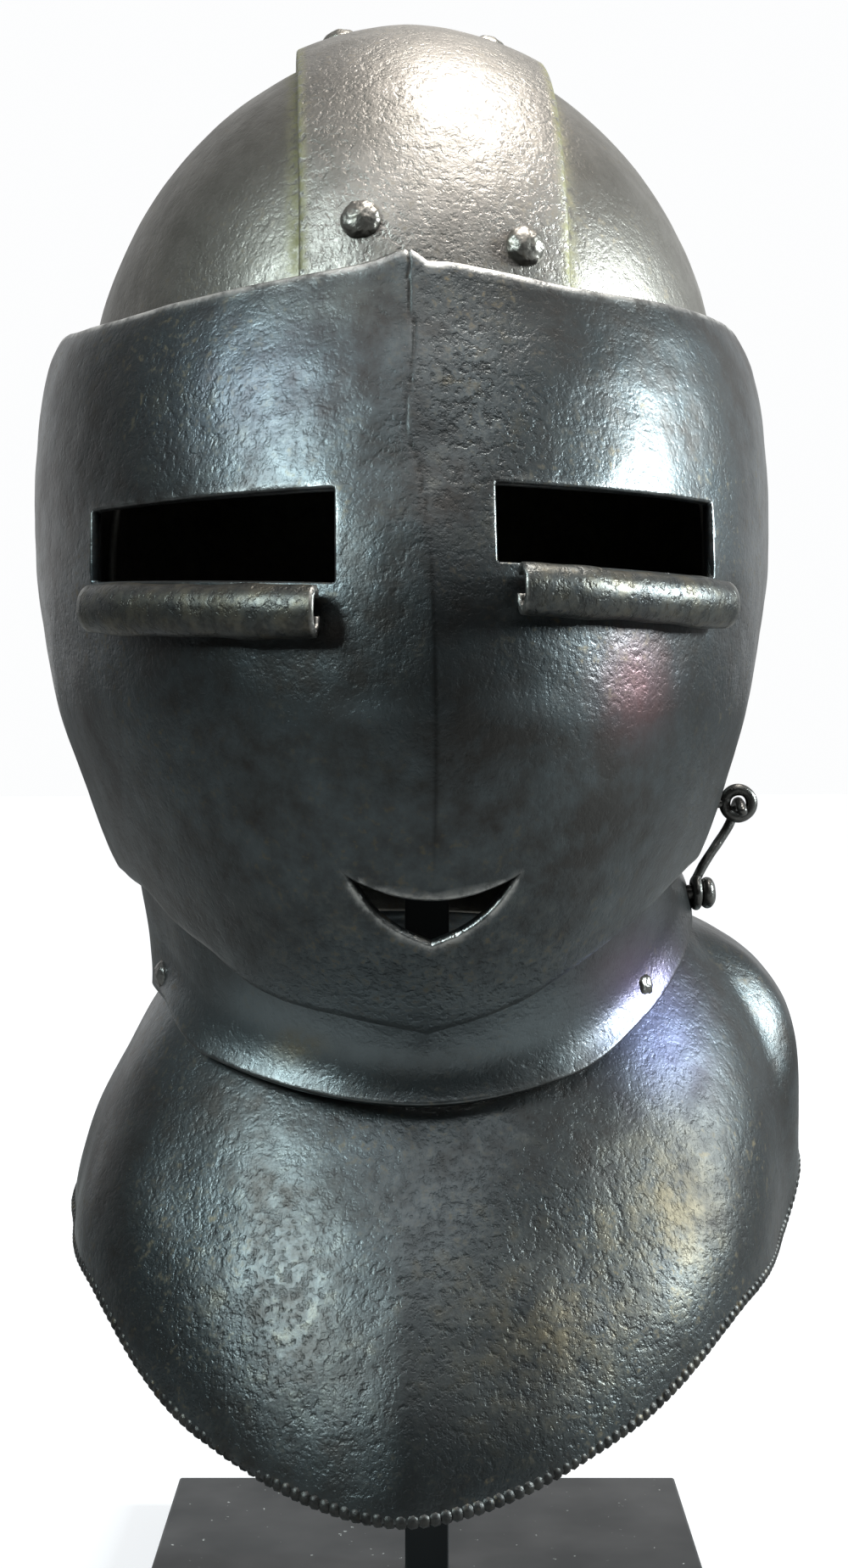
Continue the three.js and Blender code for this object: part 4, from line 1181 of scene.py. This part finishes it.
def make_visor():
    """The face plate with its cuts and lips. Its marks follow the edges, the crack and the keel; the marks in
    the crack and along the keel are painted shading.
    """
    net = sheet(visor_face, 340, 118)
    uneven(net, visor_relief)
    for slot in eye_slots:
        cut_out(net, slot_outline(slot))
    cut_out(net, mouth_outline())
    points, faces, near = thicken(net, visor_wall)
    x, y, z = points.T
    wear = 0.12 * np.exp(-((near / 0.6) ** 2))
    top_band = 2.5
    top = z > visor_high(np.degrees(np.arctan2(x, -y))) - top_band
    wear = np.maximum(wear, np.where(top, 0.95 * np.exp(-near / 0.7), 0))
    mouth_low, mouth_high = -64, mouth["tip_height"] - 2
    at_mouth = (np.abs(x) < mouth["half_width"]) & (z < mouth_high) & (z > mouth_low) & (y < 0)
    wear = np.where(at_mouth, 0.5 * np.exp(-((near / 0.9) ** 2)), wear)
    lips_low, lips_high, lips_inner = 20, 36, 12
    behind_lips = (np.abs(x) > lips_inner) & (z > lips_low) & (z < lips_high) & (y < 0)
    wear = np.where(behind_lips, 0, wear)
    plate_points = len(points)
    points, faces, wear = joined([(points, faces, wear), *[lip_tube(row) for row in eye_lips]])
    on_lips = np.where(np.arange(len(points)) < plate_points, 0, 1)
    marks = marks_of(points)
    # The lips are pitted, rusty and a little lighter; their lighter tint is partly painted highlight.
    for mark, on_lip in (("pitted", 0.6), ("rust", 0.3), ("pale_and_painted_highlight", 0.1)):
        marks[mark] = np.maximum(on_lip * on_lips, marks[mark])
    # Painted shading: the crack's groove and the keel line are coloured near black.
    crack = np.maximum(0.9 * crack_at(points, 0.4), keel_line_at(points))
    return to_object("visor_dressed", points, faces, blackened, wear=wear, crack=crack, **marks)


def make_plate(
    name, face, net_size, wall, material, seed, lump=0.3, worn=0.08, rope=None, inset=0.0, closed=False
):
    """A plate with soft lumps, its marks, and the rope under its lower edge if it has one."""
    net = sheet(face, *net_size, closed)
    def unevenness(at):
        return lump * lumps(at, plate_lump, seed) + 0.1 * lumps(at, hammer_mark, seed + 1) - inset

    uneven(net, unevenness)
    points, faces, near = thicken(net, wall)
    wear = worn * np.exp(-((near / 0.7) ** 2))
    plain_points = len(points)
    if rope:
        points, faces, wear = joined([(points, faces, wear), rope])
    # Painted shading: the rope under the lower edge is darkened all over so that its beads glint less.
    rope_painted_shading = np.where(np.arange(len(points)) < plain_points, 0, 0.85)
    marks = marks_of(points)
    marks["shade"] = np.maximum(rope_painted_shading, marks["shade"])
    if material is bright_steel:
        marks["pitted"] = np.full(len(points), 0.14)
    if material is not blackened:
        marks["seam"] = seam_at(points, material is bright_steel)
    return to_object(name, points, faces, material, wear=wear, **marks)


def rim_rope(tree, face, wall, seed):
    """The roped rim under a collar's lower edge, as points, faces and wear."""
    u = np.linspace(0.006, 0.994, 220)
    low, above = face(u, 0 * u), face(u, 0 * u + 0.02)
    across = np.gradient(low, axis=0)
    upward = above - low
    facing = np.cross(across, upward)
    facing /= np.linalg.norm(facing, axis=1)[:, None]
    facing *= np.sign((facing[:, :2] * low[:, :2]).sum(1))[:, None]
    line = low - facing * wall / 2 + upward / np.linalg.norm(upward, axis=1)[:, None] * 0.4
    edges = [(k, k + 1) for k in range(len(line) - 1)]
    mesh = grown(tree, "rope", line, facing, edges, Pitch=rope_pitch / 1000, Radius=rope_radius / 1000,
                 Hammering=0.0004, Seed=float(seed), Finish=blackened)
    points = np.array([v.co for v in mesh.vertices]) * 1000 - (0, 0, nose_height)
    faces = [list(f.vertices) for f in mesh.polygons]
    bpy.data.meshes.remove(mesh)
    return points, faces, np.full(len(points), 0.04)


stands_for(make_visor(), "visor_and_ring", "blackened_steel", "visor")

bevor = make_plate("bevor_dressed", bevor_face, (190, 76), bevor_wall, blackened, 4, lump=0.2)
stands_for(bevor, "bevor_and_collar", "blackened_steel", "bevor")

rope = rope_tree()
front_collar = make_plate(
    "collar_front_dressed", front_collar_face, (230, 86), collar_wall, blackened, 6,
    lump=0.6, worn=0.04, rope=rim_rope(rope, front_collar_face, collar_wall, 1),
)
stands_for(front_collar, "bevor_and_collar", "blackened_steel", "collar_front")

rear_collar = make_plate(
    "collar_back_dressed", rear_collar_face, (130, 56), collar_wall, blackened, 8,
    worn=0.04, rope=rim_rope(rope, rear_collar_face, collar_wall, 2),
)
stands_for(rear_collar, "helmet_on_stand", "blackened_steel", "collar_back")

skull = make_plate(
    "skull_dressed", skull_face, (220, 96), skull_wall, patinated, 10, lump=0.25, inset=0.7, closed=True
)
stands_for(skull, "helmet_on_stand", "worn_steel", "skull")

crown_plate = make_plate(
    "crown_plate_dressed", crown_plate_face, (64, 110), crown_plate_wall, bright_steel, 12, worn=0.35
)
stands_for(crown_plate, "helmet_on_stand", "worn_steel", "crown_plate")


# Rivets, bolts and latch

crown_rows = (
    {"node": "crown_rivet_front_left", "x": -16, "angle": 19.5},
    {"node": "crown_rivet_front_right", "x": 25.5, "angle": 16.5},
    {"node": "crown_rivet_top_left", "x": -19, "angle": 86},
    {"node": "crown_rivet_top_right", "x": 24.5, "angle": 86},
)
collar_rows = (
    {"node": "collar_rivet_front_left", "turn": -57, "above": 4.5},
    {"node": "collar_rivet_front_right", "turn": 41, "above": 4.5},
)
nape_rows = (
    {"node": "collar_rivet_back_left", "turn": -140},
    {"node": "collar_rivet_back_right", "turn": 140},
)


def rivets(name, tree, seats, form, finish, body, slot, rows, seed):
    mesh = grown(
        tree, name, [place for place, _ in seats], [facing for _, facing in seats], [],
        Head=form["head"] / 1000, Rise=form["rise"] / 1000, Shank=form["shank"] / 1000,
        Hammering=0.0011, Seed=float(seed), Finish=finish, **{"Shank Radius": rivet_radius / 1000},
    )
    stands_for(linked(name, mesh), body, slot, *[row["node"] for row in rows])


def by_throat(reach_at, row, above, out=0):
    """A seat at a row's turn, a little above the throat line."""
    return seat_on(reach_at, row["turn"], float(throat_height(row["turn"])) + above, out)


rivet_shapes = rivet_tree()
crown_seats = [crown_seat(row["x"], row["angle"]) for row in crown_rows]
collar_seats = [by_throat(bevor_reach, row, row["above"]) for row in collar_rows]
nape_seats = [by_throat(nape_reach, row, 0.7 * collar_tuck, 3 * fit) for row in nape_rows]
rivets("crown_rivets", rivet_shapes, crown_seats, crown_rivet, patinated, "helmet_on_stand", "worn_steel",
       crown_rows, 3)
rivets("collar_rivets", rivet_shapes, collar_seats, collar_rivet, forged, "bevor_and_collar", "dark_iron",
       collar_rows, 5)
rivets("nape_rivets", rivet_shapes, nape_seats, nape_rivet, forged, "helmet_on_stand", "dark_iron",
       nape_rows, 7)


def finished(name, parts, material, body, slot, node):
    """Makes one object of parts, in the place of a solid."""
    points, faces, wear = joined(parts)
    made = to_object(name, points, faces, material, wear=wear)
    outward(made)
    stands_for(made, body, slot, node)


def bolt(side):
    under_head = ((85, -1), (90, 0), (95, 1))
    around = [float(visor_reach(turn, temple_height + k * bolt_head_radius)) for turn, k in under_head]
    outside = max(around) + fit
    inside = skull_half_width - skull_wall - 5 * fit
    profile = [
        (0, inside - nut_wall),
        (nut_radius, inside - nut_wall),
        (nut_radius, inside),
        (bolt_radius, inside),
        (bolt_radius, outside),
        (bolt_head_radius, outside),
        (bolt_head_radius * 0.97, outside + bolt_head_rise * 0.35),
        (bolt_head_radius * 0.72, outside + bolt_head_rise * 0.72),
        (bolt_head_radius * 0.35, outside + bolt_head_rise * 0.93),
        (0, outside + bolt_head_rise * 0.96),
    ]
    return turned_piece(softened(profile, 0.7), 48, (0, 0, temple_height), (side, 0, 0), 0.18, 3 + side)


finished("bolt_left", [bolt(-1)], forged, "helmet_on_stand", "dark_iron", "pivot_left")
finished("bolt_right", [bolt(1)], forged, "helmet_on_stand", "dark_iron", "pivot_right")


def side_at(reach_at, y, height):
    """How far a plate's right side stands from the middle, at a place along Y and a height."""
    turn = at_side(reach_at, height, lambda reach: 180 - math.degrees(math.acos(y / reach)))
    return float(reach_at(turn, height)) * math.sin(math.radians(turn))


latch_x = side_at(visor_reach, latch_back, latch_height + latch_reach) + eye_radius + eye_wire + 2 * fit
latch_slant = 10.6
stud_head_x = latch_x - latch_slant


def stud():
    start = side_at(bevor_reach, latch_back, latch_height) - 0.8 * bevor_wall
    profile = [
        (0, start),
        (stud_shank, start),
        (stud_shank, stud_head_x),
        (stud_head * 0.82, stud_head_x),
        (stud_head, stud_head_x + stud_head_wall * 0.35),
        (stud_head * 0.94, stud_head_x + stud_head_wall * 0.68),
        (stud_head * 0.6, stud_head_x + stud_head_wall * 0.95),
        (0, stud_head_x + stud_head_wall),
    ]
    return turned_piece(softened(profile, 0.6), 40, (0, latch_back, latch_height), (1, 0, 0), 0.3, 9)


def ring_with_stalk():
    height = latch_height + latch_reach
    circle = []
    for a in np.linspace(0, 2 * math.pi, 48, endpoint=False):
        circle.append((latch_x + eye_radius * math.cos(a), latch_back, height + eye_radius * math.sin(a)))
    inside = latch_x - eye_radius - eye_wire - 2 * fit - visor_wall - 1
    stalk = [(x, latch_back, height) for x in np.linspace(inside, latch_x - eye_radius, 12)]
    return [drawn_wire(circle, eye_stout, 18, 2, ring=True), drawn_wire(stalk, eye_stout * 0.85, 18, 4)]


def hook():
    loop_radius = stud_shank + fit + hook_wire
    loop_x = stud_head_x - fit - hook_wire

    def on_arc(x, angle, reach):
        a = math.radians(angle)
        return (x, latch_back + reach * math.sin(a), latch_height + reach * math.cos(a))

    loop = [on_arc(loop_x, angle, loop_radius) for angle in np.linspace(0, 360, 40, endpoint=False)]
    shank = smooth_path(
        [
            on_arc(loop_x, 4, loop_radius),
            on_arc(loop_x + 3, 9, latch_reach * 0.35),
            on_arc(latch_x - 2, 14, latch_reach * 0.75),
            on_arc(latch_x, 12, latch_reach - 0.9),
            on_arc(latch_x, 2, latch_reach + 0.35),
            on_arc(latch_x, -8, latch_reach - 0.1),
            on_arc(latch_x, -16, latch_reach - 1.3),
        ],
        10,
    )
    return [drawn_wire(loop, hook_stout, 16, 5, ring=True), drawn_wire(shank, hook_stout, 16, 6)]


finished("stud", [stud()], forged, "bevor_and_collar", "dark_iron", "latch_stud")
finished("ring", ring_with_stalk(), forged, "visor_and_ring", "dark_iron", "latch_eye")
finished("hook", hook(), forged, "hook", "dark_iron", "latch_hook")


# Display stand

def board(name, low, high, bevel, node):
    """A painted block with rounded edges, turned with the stand."""
    net = bmesh.new()
    bmesh.ops.create_cube(net, size=1)
    middle = [(a + b) / 2 for a, b in zip(low, high)]
    for v in net.verts:
        v.co = Vector([m + c * (b - a) for m, c, a, b in zip(middle, v.co, low, high)])
    bmesh.ops.bevel(net, geom=net.edges[:], offset=bevel, segments=4, profile=0.5, affect="EDGES")
    cos, sin = math.cos(stand_turn), math.sin(stand_turn)
    points = []
    for x, y, z in (v.co for v in net.verts):
        points.append((x * cos - y * sin + post_shift, x * sin + y * cos, z - nose_height))
    net.verts.index_update()
    faces = [[v.index for v in f.verts] for f in net.faces]
    net.free()
    made = to_object(name, points, faces, black_paint)
    for face in made.data.polygons:
        face.use_smooth = len(face.vertices) < 5 and face.area < 1e-3
    stands_for(made, "helmet_on_stand", "black_lacquer", node)


half = stand_width / 2
board("base_board", (-half, -half, 0), (half, half, stand_wall), 0.9, "stand_base")
half = post_width / 2
post_top = nose_height + pad_top - pad_wall - fit
board("post", (-half, -half, stand_wall + fit), (half, half, post_top), 0.6, "stand_post")


def pad():
    drop = pad_dome - math.sqrt(pad_dome**2 - pad_radius**2)
    profile = [(0, 0), (pad_radius, 0), (pad_radius, pad_wall - drop)]
    for share in (0.85, 0.66, 0.5, 0.33, 0.16):
        fall = pad_dome - math.sqrt(pad_dome**2 - (share * pad_radius) ** 2)
        profile.append((pad_radius * share, pad_wall - fall))
    profile.append((0, pad_wall))
    return turned_piece(softened(profile, 1.2), 64, (0, 0, pad_top - pad_wall), (0, 0, 1))


finished("crown_pad", [pad()], black_paint, "helmet_on_stand", "black_lacquer", "stand_pad")


# Floor, light and camera

def area_light(name, place, aim, size, power, colour):
    lamp = bpy.data.lights.new(name, "AREA")
    lamp.shape = "RECTANGLE"
    lamp.size, lamp.size_y = size
    lamp.energy = power
    lamp.color = colour
    made = linked(name, lamp)
    made.location = place
    made.rotation_euler = (Vector(aim) - Vector(place)).to_track_quat("-Z", "Y").to_euler()
    return made


reach = 6.0
corners = [(-reach, -reach, 0), (reach, -reach, 0), (reach, reach, 0), (-reach, reach, 0)]
floor_mesh = bpy.data.meshes.new("floor")
floor_mesh.from_pydata(corners, [], [(0, 1, 2, 3)])
floor = linked("floor", floor_mesh)
floor_paint, p, surface = shader("floor_white")
surface["Base Color"].default_value = (0.18, 0.18, 0.18, 1)
surface["Roughness"].default_value = 0.9
surface["Emission Color"].default_value = (0.97, 0.98, 1, 1)
from_middle = p.nodes.new("ShaderNodeVectorMath")
from_middle.operation = "LENGTH"
p.wire(p.nodes.new("ShaderNodeTexCoord").outputs["Object"], from_middle.inputs[0])
glow = p.span(from_middle.outputs["Value"], 0.2, 1.4, 0.74, 0.93)
seen = p.nodes.new("ShaderNodeLightPath").outputs["Is Camera Ray"]
p.wire(p.times(glow, seen), surface["Emission Strength"])
floor_mesh.materials.append(floor_paint)

# Each light's name, place, aim, size, power and colour.
lights = [
    area_light("top_window", (0.26, 0.0, 1.5), (0, 0, 0.35), (0.4, 0.5), 25, (1, 0.97, 0.92)),
    area_light("ceiling", (0, -0.85, 1.6), (0, 0, 0.2), (1.4, 0.8), 9, (0.95, 0.98, 1)),
    area_light("left_window", (-1.16, -0.9, 1.15), (0, 0, 0.3), (0.45, 0.6), 31, (0.8, 0.97, 1)),
    area_light("right_window", (1.5, -0.2, 0.78), (0, 0, 0.34), (0.3, 0.45), 64, (0.86, 0.97, 1)),
]

world = bpy.data.worlds.new("studio")
bpy.context.scene.world = world
world.use_nodes = True
p = Palette(world.node_tree)
sky = p.nodes["Background"].inputs
parts = p.nodes.new("ShaderNodeSeparateXYZ")
p.wire(p.nodes.new("ShaderNodeTexCoord").outputs["Generated"], parts.inputs[0])
behind = p.span(parts.outputs["Y"], 0.1, 0.8, 0.0, 0.8)
above = p.span(parts.outputs["Z"], 0.45, 1.0, 0.0, 0.5)
seen = p.nodes.new("ShaderNodeLightPath").outputs["Is Camera Ray"]
bright = p.most(p.most(behind, above), seen)
p.wire(p.mix(bright, (0.006, 0.006, 0.006), (0.98, 0.985, 0.99)), sky["Color"])
sky["Strength"].default_value = 1.0

# The photograph's camera: 688 mm from the temples, level with the nose line, turned with the stand.
camera_reach = 0.688
camera_aside = 0.0068
camera_turn = math.radians(3.5)
focal_pixels = 2740
horizon_drop_pixels = 97
aside_pixels = 3.5
picture_height = 1848
camera_pitch = math.atan2(horizon_drop_pixels, focal_pixels)
camera_data = bpy.data.cameras.new("camera")
camera = linked("camera", camera_data)
camera.location = (
    camera_aside * math.cos(camera_turn) - camera_reach * math.sin(camera_turn),
    -camera_aside * math.sin(camera_turn) - camera_reach * math.cos(camera_turn),
    nose_height / 1000,
)
camera.rotation_euler = (math.pi / 2 - camera_pitch, 0, -camera_turn)
camera_data.lens = 36 * focal_pixels / picture_height
camera_data.shift_x = -aside_pixels / picture_height
camera_data.clip_start = 0.01
bpy.context.scene.camera = camera
bpy.context.scene.view_settings.view_transform = "Standard"
